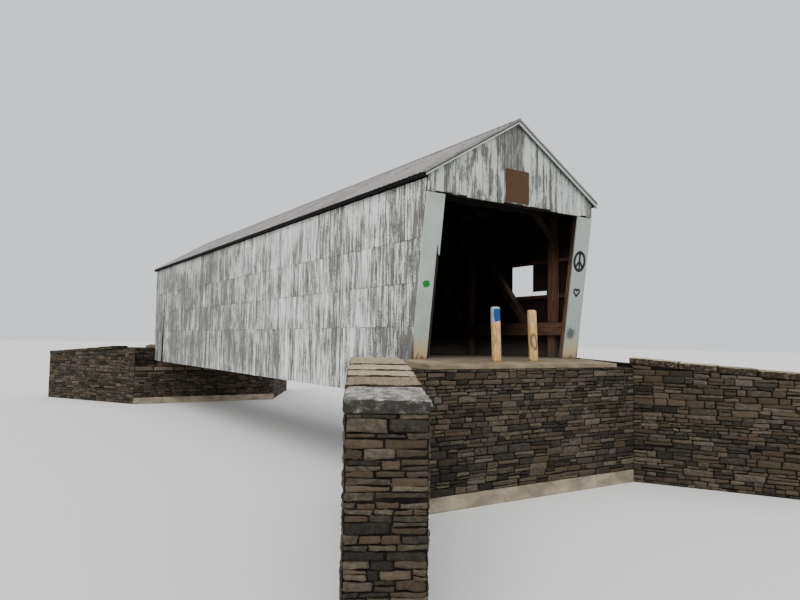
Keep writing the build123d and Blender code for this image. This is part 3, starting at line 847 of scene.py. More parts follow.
def gable_boards(end, settings, rng, nails):
    """Upright boards of a gable, cut to the roof slope, with a joint on the centre line. Some are short."""
    gathered = Gathered()
    plane = Face((portal(end, OPENING, CASING_THICKNESS), 0, FLOOR), Y, Z, (end, 0, 0))
    half = joints_along(rng, 0.0, HALF_WIDTH, settings.gable_width)
    other = joints_along(rng, -HALF_WIDTH, 0.0, settings.gable_width)
    joints = np.concatenate([other, half[1:]])
    count = len(joints) - 1
    foot = OPENING + rng.uniform(0.0, 0.012, count) + 0.03 * (rng.random(count) < 0.35)
    quads = board_quads(joints, joints, foot, OPENING, settings.gap)
    drop = (SHEET_DEPTH + PURLIN_DEPTH) / math.cos(ROOF_ANGLE)
    quads[:, 2:, 1] = roof_height(quads[:, 2:, 0]) - drop
    add_boards(gathered, plane, quads, CASING_THICKNESS, settings, rng, nails)
    return gathered


def casing_width(end, side):
    """Width of a casing: the near right one is a little wider."""
    return WIDE_CASING if (end, side) == (-1, -1) else CASING_WIDTH


def casing_face(end, side):
    """The leaning face of a casing: u runs out across the bridge and v up along the lean."""
    rise = math.hypot(LEAN[end], OPENING)
    up = (end * LEAN[end] / rise, 0, OPENING / rise)
    out = (end * OPENING / rise, 0, -LEAN[end] / rise)
    foot = (portal(end, 0.0), side * (HALF_WIDTH - casing_width(end, side)), FLOOR)
    return Face(foot, (0, side, 0), up, out)


def casing_boards(end, settings, rng, nails):
    """Wide casing boards beside an opening, one a side. A strip has split off the near left one's foot."""
    gathered = Gathered()
    rise = math.hypot(LEAN[end], OPENING)
    foot, head = -THRESHOLD_DROP, rise - CASING_SHORT
    for side in (1, -1):
        plane = casing_face(end, side)
        width = casing_width(end, side)
        outline = [(0.0, foot), (width, foot), (width, head), (0.0, head)]
        if (end, side) == (-1, 1):
            low, high = (height * rise / OPENING for height in BREAK_HEIGHTS)
            broken = [(0.0, low), (0.035, low + 0.04), (0.05, low + 0.16), (BROKEN_WIDTH, high)]
            outline = [(BROKEN_WIDTH, foot), *outline[1:], *broken]
        points, faces = slabs(np.array([outline]), -CASING_THICKNESS * OPENING / rise, 0.0, settings.ease)
        gathered.add(plane, points, faces, rng.random())
        rows = np.arange(0.12, rise, CASING_NAILS)
        nails.append((plane, np.array([(u, v, 0.0) for u in (0.12, 0.41) for v in rows])))
    return gathered


def stroke(gathered, plane, path, width, closed=False, thickness=0.0006):
    """A paint stroke along a path of (u, v): a flat strip of a width, standing a hair out of the face.

    Each point's four corners lie half a width to either side of the path, at the face and just above it.
    """
    path = np.asarray(path, float)
    count = len(path)
    ahead, behind = np.roll(path, -1, axis=0), np.roll(path, 1, axis=0)
    if not closed:
        ahead[-1], behind[0] = path[-1], path[0]
    run = ahead - behind
    run = run / np.linalg.norm(run, axis=1, keepdims=True)
    normal = np.stack([-run[:, 1], run[:, 0]], axis=1) * np.broadcast_to(width, count)[:, None] / 2
    sides = [(path - normal, -SUNK), (path + normal, -SUNK)]
    sides += [(path + normal, thickness), (path - normal, thickness)]
    points = [np.column_stack([side, np.full(count, depth)]) for side, depth in sides]
    faces = [(np.roll(ring_walls(4, count + closed) % (4 * count), -1, axis=1), 0)]
    if not closed:
        faces.append((np.array([[0, 1, 2, 3], [-1, -2, -3, -4]]) % (4 * count), 0))
    gathered.add(plane, np.stack(points, axis=1).reshape(-1, 3), faces)


def smooth_path(points, count=24):
    """Points along a smooth line through some points: a cubic through each four in turn (Catmull and Rom)."""
    points = np.asarray(points, float)
    padded = np.concatenate([2 * points[:1] - points[1:2], points, 2 * points[-1:] - points[-2:-1]])
    place = np.linspace(0, len(points) - 1, count)
    step = np.minimum(place.astype(int), len(points) - 2)
    t = (place - step)[:, None]
    a, b, c, d = (padded[step + k] for k in range(4))
    return 0.5 * (2 * b + (c - a) * t + (2 * a - 5 * b + 4 * c - d) * t**2 + (3 * b - a - 3 * c + d) * t**3)


def ring_path(centre, radius, count=28, squeeze=1.0):
    """Points round a circle, squeezed sideways."""
    angle = np.arange(count) * 2 * math.pi / count
    return np.column_stack([centre[0] + squeeze * radius * np.cos(angle), centre[1] + radius * np.sin(angle)])


def heart_path(centre, size, count=30):
    """A heart: sideways the cube of a sine, upwards a sum of four cosines."""
    t = np.linspace(0, 2 * math.pi, count, endpoint=False)
    upwards = (13 * np.cos(t) - 5 * np.cos(2 * t) - 2 * np.cos(3 * t) - np.cos(4 * t)) / 16
    return np.column_stack([centre[0] + size * np.sin(t) ** 3, centre[1] + size * upwards])


def roof_sheets(side, settings, rng):
    """Ribbed sheets of one slope, from ridge to eave, each lapping its neighbour at a rib.

    Across a sheet the surface is flat and rises to a rib once a pitch, as a trapezium of x. Along the
    slope it bulges a little between the nailed rows, as a cosine. A second surface one gauge below closes it.
    """
    gathered = Gathered()
    sine, cosine = math.sin(ROOF_ANGLE), math.cos(ROOF_ANGLE)
    plane = Face((0, 0, FLOOR + RIDGE), X, (0, side * cosine, -sine), (0, side * sine, cosine))
    start, stop = ROOF_ENDS
    ribs = round((stop - start) / settings.pitch)
    pitch = (stop - start) / ribs
    rib = settings.rib_width * np.array([-0.5, -0.25, 0.25, 0.5])
    rows = np.linspace(0.012, 1.0, 9)
    for first in range(0, ribs, settings.ribs_a_sheet):
        centres = start + pitch * (np.arange(first, min(first + settings.ribs_a_sheet, ribs) + 1))
        columns = (centres[:, None] + rib).ravel()
        lap = 1.5 * GAUGE * (columns - columns[0])
        rise = np.tile((0.0, 1.0, 1.0, 0.0), len(centres)) * (SHEET_DEPTH - 5 * GAUGE) + lap
        along = rows * (ROOF_RUN / cosine - rng.uniform(0.0, 0.006))
        bulge = 0.0005 * (1 - np.cos(along * 2 * math.pi / NAIL_ROWS))
        depth = rise[None] + bulge[:, None] - SHEET_DEPTH + 1.5 * GAUGE
        across, down = np.meshgrid(columns.clip(start, stop), along)
        top = np.dstack([across, down, depth])
        add_shell(gathered, plane, top, top - (0, 0, GAUGE), rng.random())
    return gathered


def add_shell(gathered, plane, top, under, shade):
    """Adds a closed thin shell between two grids (rows, columns, 3) of the same size, dark underneath."""
    size = top.shape[0] * top.shape[1]
    index = np.arange(size).reshape(top.shape[:2]).T
    quads = grid_quads(index)
    rim = grid_rim(index)
    walls = np.stack([rim + size, np.roll(rim, -1) + size, np.roll(rim, -1), rim], axis=1)
    points = np.concatenate([top.reshape(-1, 3), under.reshape(-1, 3)])
    gathered.add(plane, points, ((quads, 0), (walls, 0), (quads[:, ::-1] + size, 1)), shade)


def deck_planks(settings, rng):
    """Floor planks across the bridge, worn along the middle, with eased arrises."""
    gathered = Gathered()
    low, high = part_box("deck")
    plane = Face((0, 0, low.z), X, Y, Z)
    joints = joints_along(rng, low.x, high.x, settings.plank_width, 0.06)
    count = len(joints) - 1
    ends = (low.y + rng.uniform(0, 0.01, count), high.y - rng.uniform(0, 0.01, count))
    quads = board_quads(joints, joints, *ends, 0.006)
    points, faces = slabs(quads, 0.0, high.z - low.z - rng.uniform(0, 0.003, count), 0.004, 0)
    gathered.add(plane, points, faces, np.repeat(rng.random(count), 12))
    return gathered


def dressed_copy(name, nodes, material, arris):
    """Copies CAD nodes into one piece with merged points, whole faces and worn arrises.

    Each timber has a shade: all its points take the lowest number that their edges pass on among them.
    """
    shell = bmesh.new()
    for part in nodes:
        shell.from_mesh(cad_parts[part].data)
    bmesh.ops.remove_doubles(shell, verts=shell.verts, dist=0.00005)
    bmesh.ops.dissolve_limit(shell, angle_limit=0.01, verts=shell.verts, edges=shell.edges)
    mesh = bpy.data.meshes.new(name)
    shell.to_mesh(mesh)
    shell.free()
    ends = np.zeros(len(mesh.edges) * 2, np.int32)
    mesh.edges.foreach_get("vertices", ends)
    first, second = ends[::2], ends[1::2]
    label = np.arange(len(mesh.vertices))
    for _ in range(LONGEST_CHAIN):
        lowest = np.minimum(label[first], label[second])
        np.minimum.at(label, first, lowest)
        np.minimum.at(label, second, lowest)
    mesh.materials.clear()
    mesh.materials.append(material)
    mesh.polygons.foreach_set("use_smooth", np.zeros(len(mesh.polygons), bool))
    made = stand(name, mesh, np.random.default_rng(len(label)).random(len(label))[label])
    bevel = made.modifiers.new("arris", "BEVEL")
    bevel.width = arris
    bevel.segments = 2
    bevel.limit_method = "ANGLE"
    bevel.angle_limit = math.radians(25)
    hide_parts(*nodes)
    return made


def course_quads(rng, length, top, fall, settings):
    """Quads of coursed stones on a face of a length whose top drops by fall along it.

    Courses of random heights climb from 0. In each, stones of random lengths fill the face, some are split
    into two thin ones, and upper corners are cut down to the sloping top.
    """
    made = []
    low = 0.0
    while low < top - LEAST_COURSE:
        high = low + rng.uniform(settings.course_low, settings.course_high)
        if top - high < settings.course_low * 0.6:
            high = top
        share = 0.55 + 0.45 * (high - low) / settings.course_high
        joints = joints_along(rng, 0.0, length, settings.length * share * rng.uniform(0.75, 1.3), 0.38)
        left, right = joints[:-1], joints[1:]
        count = len(left)
        split = (rng.random(count) < SPLIT_SHARE) & (high - low > SPLIT_COURSE)
        middle = np.where(split, low + (high - low) * rng.uniform(0.35, 0.65, count), high)
        for foot, head in ((np.full(count, low), middle), (middle, np.full(count, high))):
            heads = [np.minimum(head, top - fall * end) for end in (left, right)]
            quads = quads_of((left, foot), (right, foot), (right, heads[1]), (left, heads[0]))
            made.append(quads if head is middle else quads[split])
        low = high
    quads = np.concatenate(made)
    quads = quads[quads[:, 2:, 1].min(1) - quads[:, 0, 1] > LEAST_STONE]
    return inset(quads, settings.joint / 2) + rng.normal(0, 0.008, quads.shape).clip(-0.014, 0.014)


def add_stones(gathered, plane, quads, proud, rng, finish=0):
    """Adds rounded, rough-faced stones over quads.

    A stone's point lies at the blend of its corners at (s, t). It stands out by a rise that is 0 at the
    border and 1 inside the arris, the product of one such curve in s and one in t, times its own height
    with a tilt and a random roughness. The border lies in the joint, where a back closes the stone.
    """
    count = len(quads)
    lines = len(STONE_LINES)
    s, t = STONE_LINES[None, :, None], STONE_LINES[None, None, :]
    flat = blend([quads[:, k, None, None] for k in range(4)], s, t)
    flat = flat + rng.normal(0, 0.0045, flat.shape)
    flat[..., 1] = np.maximum(flat[..., 1], 0.001)
    height = proud * rng.uniform(0.45, 1.0, (count, 1, 1))
    tilt = rng.normal(0, 0.2, (count, 1, 1)) * (s - 0.5) + rng.normal(0, 0.3, (count, 1, 1)) * (t - 0.5)
    rough = rng.normal(0, 0.16, (count, lines, lines))
    rough = (rough + np.roll(rough, 1, 1) + np.roll(rough, 1, 2)) / 1.7
    depth = (height * (1 + tilt + rough * 0.8) + STONE_BED) * np.outer(STONE_RISE, STONE_RISE) - STONE_BED
    depth = np.minimum(depth, proud * 1.3)
    points = np.concatenate([flat, depth[..., None]], axis=-1).reshape(-1, 3)
    index = np.arange(lines * lines).reshape(lines, lines)
    shapes = (grid_quads(index), grid_rim(index)[None, ::-1])
    groups = tuple((repeated(shape, count, lines * lines), finish) for shape in shapes)
    gathered.add(plane, points, groups, np.repeat(rng.random(count), lines * lines))


def wing_place(end, side, reach, offset):
    """Plan point at a reach along a wing wall's stream face and an offset towards the road."""
    depth = BREAST - reach * math.cos(WING_ANGLE) - offset * math.sin(WING_ANGLE)
    y = ABUTMENT_HALF[end] + reach * math.sin(WING_ANGLE) - offset * math.cos(WING_ANGLE)
    return np.array((end * (HALF_LENGTH - depth), side * y, 0.0))


def wing_directions(end, side):
    """Unit directions along a wing wall, away from the bridge, and out of its stream face."""
    along = np.array((end * math.cos(WING_ANGLE), side * math.sin(WING_ANGLE), 0.0))
    out = np.array((-end * math.sin(WING_ANGLE), side * math.cos(WING_ANGLE), 0.0))
    return along, out


def wing_stones(end, side, settings, rng):
    """Stones of a wing wall: stream face, end face, road face, and flat ones before the first cap."""
    gathered = Gathered()
    along, out = wing_directions(end, side)
    bed = COPING_TOP[end] - COPING_THICKNESS
    proud = settings.proud
    spread = math.tan(WING_ANGLE)
    start = WING_WIDTH / spread
    root = COPING_JOINTS[0]
    tip = wing_place(end, side, WING_LENGTH, 0)
    corner = wing_place(end, side, start, WING_WIDTH)
    level = wing_place(end, side, root, 0) + (0, 0, bed - COPING_FALL * root)
    faces = (
        (Face(wing_place(end, side, 0, 0), along, Z, out), WING_LENGTH, bed, COPING_FALL, proud),
        (Face(tip, -out, Z, along), WING_WIDTH, bed - COPING_FALL * WING_LENGTH, 0.0, proud),
        (Face(corner, along, Z, -out), WING_LENGTH - start, bed - COPING_FALL * start, COPING_FALL, proud),
        (Face(level, -along + (0, 0, COPING_FALL), -out, Z), root, root * spread, spread, FLAT_PROUD),
    )
    for plane, length, top, fall, proud in faces:
        add_stones(gathered, plane, course_quads(rng, length, top, fall, settings), proud, rng)
    return gathered


def abutment_stones(end, settings, rng):
    """Stones of an abutment: breast wall with its projecting ledge, the wall above, and the road's side."""
    gathered = Gathered()
    half = ABUTMENT_HALF[end]
    top = SEAT - SEAT_COURSE

    def lay(depth, low, start, length, height, proud, up, out):
        """Lays courses on an upright or flat face at a depth behind the portal's foot."""
        plane = Face((end * (HALF_LENGTH - depth), start, low), Y, up, out)
        add_stones(gathered, plane, course_quads(rng, length, height, 0.0, settings), proud, rng)

    for depth, low, high, start, stop, way, proud in (
        (BREAST, FOOTING_TOP, top, -half, half, -end, settings.proud),
        (-BACK, FOOTING_TOP, BACKWALL_TOP, -half, half, end, settings.proud),
        (0.0, SEAT, BACKWALL_TOP, -half, -HALF_WIDTH, -end, settings.proud),
        (0.0, SEAT, BACKWALL_TOP, HALF_WIDTH, half, -end, settings.proud),
        (0.0, SEAT, BACKWALL_TOP, -HALF_WIDTH, HALF_WIDTH, -end, 0.003),
    ):
        lay(depth, low, start, stop - start, high - low, proud, Z, (way, 0, 0))
    for start in (-half, HALF_WIDTH):
        for depth, level, width in ((0.0, SEAT, BREAST), (-BACK, BACKWALL_TOP, BACK)):
            lay(depth, level, start, half - HALF_WIDTH, width, FLAT_PROUD, (-end, 0, 0), Z)
    ledge = Face((end * (HALF_LENGTH - BREAST - SEAT_PROJECTION), -half, top), Y, Z, (-end, 0, 0))
    joints = joints_along(rng, 0.0, 2 * half, 0.8, 0.2)
    quads = inset(board_quads(joints, joints, 0.0, SEAT_COURSE, 0.0), settings.joint / 2)
    add_stones(gathered, ledge, quads, 0.012, rng, 1)
    return gathered


def box_lattice(*lines):
    """Surface of a box over three rising lists of coordinates: its points, and its quads facing outwards."""
    shape = [len(values) for values in lines]
    index = np.arange(np.prod(shape)).reshape(shape)
    quads = []
    for axis in range(3):
        for side in (0, -1):
            quad = grid_quads(np.take(index, side, axis=axis))
            outward = (side == -1) == (axis != 1)
            quads.append(quad if outward else quad[:, ::-1])
    used, quads = np.unique(np.concatenate(quads), return_inverse=True)
    grid = np.stack(np.meshgrid(*lines, indexing="ij"), axis=-1).reshape(-1, 3)
    return grid[used], quads.reshape(-1, 4)


def coping_slabs(end, rng):
    """Rough cap slabs on both wing walls of an end.

    A slab's point is the blend of its four plan corners at (s, t), and rises from the sloping bed by its
    share of the thickness, less a fall towards the bridge, so that each slab stands a step above the next.
    Points near an arris move in along the rounding of a box, and all move in by a random depth, so that
    the slab stays in the space of the cut one.
    """
    gathered = Gathered()
    edge = np.array([0.0, 0.015, 0.045])
    long_lines = np.concatenate([edge, np.linspace(0.1, 0.9, 13), 1 - edge[::-1]])
    high_lines = np.array([0.0, 0.1, 0.25, 0.42, 0.6, 0.78, 0.93, 1.0])
    lattice, quads = box_lattice(long_lines, long_lines, high_lines)
    s, t, h = lattice.T
    sine, cosine = math.sin(WING_ANGLE), math.cos(WING_ANGLE)
    inner = WING_WIDTH + COPING_OVERHANG
    last = len(COPING_JOINTS) - 2
    for side in (1, -1):
        along, out = wing_directions(end, side)
        plane = Face(wing_place(end, side, 0, 0), along, -out, Z)
        for n in range(last + 1):
            lone = n == last
            low = COPING_JOINTS[n] + (COPING_GAP / 2 if n else 0)
            high = COPING_JOINTS[n + 1] - (0 if lone else COPING_GAP / 2)
            near, far = (min(inner, (reach * sine - COPING_GAP / 2) / cosine) for reach in (low, high))
            corners = np.array([(low, -COPING_OVERHANG), (high, -COPING_OVERHANG), (high, far), (low, near)])
            plan = blend(corners, s, t)
            waves = [0.012 * np.sin(8 * t + 2.1 * joint + side) * (0 < joint <= last) for joint in (n, n + 1)]
            plan[:, 0] += waves[0] * (1 - s) + waves[1] * s
            size = np.array((high - low, inner + COPING_OVERHANG, COPING_THICKNESS))
            jag = 0.5 + 0.5 * np.sin(11 * s + 9 * t + 7 * h + rng.uniform(0, 6))
            rough = np.abs(rng.normal(0, 0.005, len(lattice)))
            rough = rough + CAP_JAG[lone] * jag * np.abs(2 * t - 1)**3
            pull = rounded(lattice, size, CAP_RADII[lone]) - (2 * lattice - 1) * rough[:, None] * (1, 1, 0.5)
            bed = COPING_TOP[end] - COPING_THICKNESS - COPING_FALL * (plan[:, 0] + pull[:, 0])
            worn = h * (COPING_STEP * (1 - s) * (n > 0) + 0.003 * np.sin(9 * t + 5 * s + n) + 0.003)
            rise = h * COPING_THICKNESS + pull[:, 2] * np.where(h > 0.2, 1, 0) - worn
            points = np.column_stack([plan + pull[:, :2], bed + rise])
            gathered.add(plane, points, ((quads, int(lone)),), rng.random())
    return gathered


def rounded(lattice, size, radius):
    """How far lattice points of a unit box of a real size move when its arrises are rounded.

    A point within a radius of two or three sides goes to the ellipsoid or elliptic cylinder, with a radius
    along each axis, round the nearest point of the core, the box less the radii all round.
    """
    real = (lattice - 0.5) * size
    core = np.clip(real, radius - size / 2, size / 2 - radius)
    away = (real - core) / radius
    length = np.linalg.norm(away, axis=1, keepdims=True)
    return np.where(length > 0, core + away / np.maximum(length, 1e-9) * radius, real) - real


def bollard_posts():
    """Round posts: rings of points at levels up a leaning axis, with shallow checks and a worn, eased top."""
    gathered = Gathered()
    angle = np.arange(BOLLARD_SIDES) * 2 * math.pi / BOLLARD_SIDES
    for number, (_, height, _) in enumerate(BOLLARDS):
        rng = np.random.default_rng(90 + number)
        top = height - np.array([0.05, 0.03, 0.015, 0.005, 0.0])
        levels = np.concatenate([[-BOLLARD_SUNK], np.linspace(0.05, height - 0.08, 12), top])[:, None]
        eased = np.zeros(levels.shape)
        eased[-4:, 0] = -0.004, -0.011, -0.024, -0.045
        wave = 0.0015 * (np.sin(3 * angle + 2 * number) + np.sin(5 * angle + 4 * levels) - 2)
        checks = -0.004 * np.exp(-((np.cos(angle - rng.uniform(0, 6)) - 1) / 0.002) ** 2)
        depth = eased + wave + checks
        grids = np.broadcast_arrays(angle * BOLLARD_RADIUS, levels, depth)
        walls = ring_walls(BOLLARD_SIDES, len(levels))
        caps = np.stack([np.arange(BOLLARD_SIDES)[::-1], np.arange(-BOLLARD_SIDES, 0) + depth.size])
        gathered.add(bollard_face(number), np.dstack(grids).reshape(-1, 3), ((walls, 0), (caps, 0)), number)
    return gathered


def bollard_face(number):
    """The round face of a bollard: the left one, 0, or the right one, 1."""
    y, _, lean = BOLLARDS[number]
    return Round((BOLLARD_X, y, BOLLARD_FOOT), (0, math.sin(lean), math.cos(lean)), BOLLARD_RADIUS)


# Operators


def settings_of(context):
    """The five groups of settings of a scene."""
    return [getattr(context.scene, name) for name in GROUPS]


# Camera at the photo's angle: its place, its right and up directions, its sensor's width in millimetres
# and how far it sees, half the floor's width, and the fill light's share of the key light's strength
CAMERA_PLACE = (-22.7477, 9.9313, 3.2497)
CAMERA_RIGHT = (-0.54286, -0.83966, 0.01643)
CAMERA_UP = (-0.04386, 0.04788, 0.99789)
SENSOR = 36.0
SIGHT = 2000.0
FLOOR_REACH = 400.0
FILL_SHARE = 0.25


class BRIDGE_OT_stage(Operator):
    """Makes the pale floor, the soft lights and the camera"""
    bl_idname = "bridge.stage"
    bl_label = "Studio"

    def execute(self, context):
        settings = settings_of(context)[4]
        right, up = Vector(CAMERA_RIGHT), Vector(CAMERA_UP)
        data = bpy.data.cameras.new("camera")
        data.lens = settings.lens
        data.sensor_width = SENSOR
        data.clip_end = SIGHT
        camera = bpy.data.objects.new("camera", data)
        place = Matrix((right, up, right.cross(up))).transposed().to_4x4()
        place.translation = Vector(CAMERA_PLACE)
        camera.matrix_world = place
        context.scene.collection.objects.link(camera)
        context.scene.camera = camera
        mesh = bpy.data.meshes.new("floor")
        corners = [(x * FLOOR_REACH, y * FLOOR_REACH, 0) for x, y in ((-1, -1), (1, -1), (1, 1), (-1, 1))]
        mesh.from_pydata(corners, [], [(0, 1, 2, 3)])
        floor = bpy.data.objects.new("floor", mesh)
        context.scene.collection.objects.link(floor)
        look = Look("matt floor paint", whole=True)
        cloud = look.add("Math MULTIPLY", look.noise(9.0, 2.0), 0.1)
        mesh.materials.append(look.done(look.add("Mix", cloud, settings.floor, "#c8c8c4"), 0.9, specular=0.1))
        world = context.scene.world or bpy.data.worlds.new("studio")
        context.scene.world = world
        world.use_nodes = True
        background = world.node_tree.nodes["Background"]
        background.inputs["Color"].default_value = opaque("#e6eaee")
        background.inputs["Strength"].default_value = settings.sky
        lamps = (
            ("key", settings.key, (0.72, 0.0, -2.57), 60),
            ("fill", settings.key * FILL_SHARE, (0.75, 0.1, -0.9), 90),
        )
        for name, strength, turn, spread in lamps:
            light = bpy.data.lights.new(name, "SUN")
            light.energy = strength
            light.angle = math.radians(spread)
            lamp = bpy.data.objects.new(name, light)
            lamp.rotation_euler = turn
            context.scene.collection.objects.link(lamp)
        return {"FINISHED"}


class BRIDGE_OT_boarding(Operator):
    """Makes the boards of both side walls and both gables, and the casings"""
    bl_idname = "bridge.boarding"
    bl_label = "Boards"

    def execute(self, context):
        settings = settings_of(context)[0]
        # Dark bare wood for the boards' backs, made darker still as painted shade inside the bridge
        backs = ("#1b1410", "#33261e", "#4b3a2e")
        inside = aged_wood("unpainted board backs", backs, (0, math.pi / 2, 0))
        fresh = (settings.paint, settings.paint_dull)
        painted = flaking_paint("flaking white paint on side boards", *fresh, 1.76, side_wear, 0)
        chalky = (settings.gable_paint, settings.gable_dull)
        gable_paint = flaking_paint("flaking white paint on gable boards", *chalky, 1.62, gable_wear, 1, 1.4)
        trim = worn_trim("pale paint on casing boards", settings, True)
        nails = []
        for side, name in ((1, "left"), (-1, "right")):
            rng = np.random.default_rng(11 if side > 0 else 23)
            boards = side_boards(side, settings, rng, nails)
            made = boards.piece(name + "_side_boards", [painted, inside], "painted_boards")
            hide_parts(name + "_siding")
        for end, name in ((-1, "near"), (1, "far")):
            rng = np.random.default_rng(37 + end)
            boards = gable_boards(end, settings, rng, nails)
            made = boards.piece(name + "_gable_boards", [gable_paint, inside], "painted_boards")
            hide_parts(name + "_gable")
            boards = casing_boards(end, settings, rng, nails)
            made = boards.piece(name + "_casing_boards", [trim, inside], "painted_trim")
            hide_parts(name + "_casings")
        iron = rusty_iron("rusted wrought iron nails")
        nail_heads(nails, 0.0075, 0.0018).piece("nail_heads", [iron], "painted_boards")
        return {"FINISHED"}


class BRIDGE_OT_marks(Operator):
    """Paints the loose marks on the near casings"""
    bl_idname = "bridge.marks"
    bl_label = "Paint marks"

    def execute(self, context):
        black = plain_paint("black spray paint", "#111113", "#222224")
        green = plain_paint("green spray paint", "#17782e", "#22833a")
        right = casing_face(-1, -1)
        gathered = Gathered()
        centre = (0.22, 2.36)
        stroke(gathered, right, ring_path(centre, 0.22, squeeze=0.79), 0.076, closed=True)
        stem = [(centre[0] - 0.005, centre[1] + 0.2), centre, (centre[0] + 0.01, centre[1] - 0.2)]
        stroke(gathered, right, smooth_path(stem), np.linspace(0.074, 0.05, 24))
        for sign in (1, -1):
            knee = (centre[0] + sign * 0.06, centre[1] - 0.07)
            foot = (centre[0] + sign * 0.125, centre[1] - 0.15)
            stroke(gathered, right, smooth_path([centre, knee, foot]), 0.06)
        stroke(gathered, right, heart_path((0.229, 1.61), 0.096), 0.05, closed=True)
        gathered.piece("black_marks", [black], "painted_trim")
        left = casing_face(-1, 1)
        gathered = Gathered()
        for radius in (0.012, 0.034, 0.056):
            stroke(gathered, left, ring_path((0.27, 1.546), radius, 24, 1.25), 0.036, closed=True)
        for u, v in ((0.215, 1.607), (0.352, 1.572), (0.18, 1.53), (0.315, 1.48)):
            stroke(gathered, left, ring_path((u, v), 0.007, 10), 0.018, closed=True)
        gathered.piece("green_mark", [green], "painted_trim")
        return {"FINISHED"}


class BRIDGE_OT_roofing(Operator):
    """Makes the corrugated roofing of both slopes and dresses the ridge cap and rake boards"""
    bl_idname = "bridge.roofing"
    bl_label = "Roofing"

    def execute(self, context):
        boards, settings = settings_of(context)[:2]
        metal = roofing_metal("dull galvanised roofing steel", settings)
        # Near-black underside of the sheets
        underside = plain_paint("darkish underside of roofing steel", "#1d1a18", "#2b2622")
        for side, name in ((1, "left"), (-1, "right")):
            rng = np.random.default_rng(41 + side)
            made = roof_sheets(side, settings, rng).piece(name + "_roofing", [metal, underside], "roof_metal")
            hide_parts(name + "_roof")
        dressed_copy("ridge_capping", ["ridge_cap"], metal, 0.002)
        dressed_copy("edge_flashings", ["rake_flashings"], metal, 0.0008)
        trim = worn_trim("pale paint on rake boards", boards, False)
        dressed_copy("rake_trim", ["rake_boards"], trim, 0.003)
        return {"FINISHED"}


class BRIDGE_OT_timber(Operator):
    """Dresses the timber frame, the floor and the foundations' timbers"""
    bl_idname = "bridge.timber"
    bl_label = "Timber frame"

    def execute(self, context):
        boards, settings = settings_of(context)[0], settings_of(context)[3]
        # Pale colours for the timbers by the portals: painted light for the daylight on them, which painted
        # shade darkens inside
        truss = ("#33241b", "#6b4c3a", "#96725a")
        # Near-black colours for the timbers high under the roof: painted shade
        roof = ("#17100d", "#2a1d17", "#3d2e25")
        quarter = math.pi / 2
        brace_turn = (0.0, -math.atan2(2.764, 2.382), 0.0)
        along = aged_wood("aged oak along the bridge", truss)
        upright = aged_wood("aged oak posts", truss, (0, quarter, 0))
        crosswise = aged_wood("aged oak across the bridge", truss, (0, 0, quarter))
        leaning = aged_wood("aged oak braces", truss, brace_turn, True)
        overhead = aged_wood("blackish oak over the portal", roof, (0, 0, quarter))
        slope = aged_wood("aged pine rafters", roof, (0, 0, quarter))
        blackened = eave_finish("tarred and painted eave boards", boards)
        # Brighter studs: painted light for the daylight on the right portal stud; the left-hand ones get
        # painted shade
        stud = ("#30241e", "#63493a", "#8d6d59")
        studs = aged_wood("weathered pine studs", stud, (0, quarter, 0), shaded=True)
        laths = aged_wood("aged pine purlins", roof)
        planks = aged_wood("dusty floor planks", ("#4c443a", "#6e655a", "#8b8173"), (0, 0, quarter))
        arris = settings.arris
        chords = ["left_lower_chord", "right_lower_chord", "top_chords", "bolsters"]
        groups = (
            ("chord_timbers", chords, along, "truss_timber"),
            ("post_timbers", ["left_posts", "right_posts"], upright, "truss_timber"),
            ("stud_timbers", ["portal_studs"], studs, "truss_timber"),
            ("brace_timbers", ["left_braces", "right_braces"], leaning, "truss_timber"),
            ("cross_timbers", ["floor_beams", "bed_timbers"], crosswise, "truss_timber"),
            ("sill_timbers", ["portal_sills"], planks, "truss_timber"),
            ("head_timbers", ["tie_beams", "lintels"], overhead, "truss_timber"),
            ("knee_timbers", ["knee_braces"], upright, "truss_timber"),
            ("girt_timbers", ["girts", "stringers"], along, "truss_timber"),
            ("rafter_timbers", ["left_rafters", "right_rafters"], slope, "roof_timber"),
            ("purlin_boards", ["purlins"], laths, "roof_timber"),
            ("eave_fascias", ["eave_boards"], blackened, "roof_timber"),
        )
        for name, nodes, material, slot in groups:
            dressed_copy(name, nodes, material, arris if slot == "truss_timber" else 0.004)
        made = deck_planks(boards, np.random.default_rng(71)).piece("floor_boards", [planks], "floor_planks")
        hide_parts("deck")
        return {"FINISHED"}


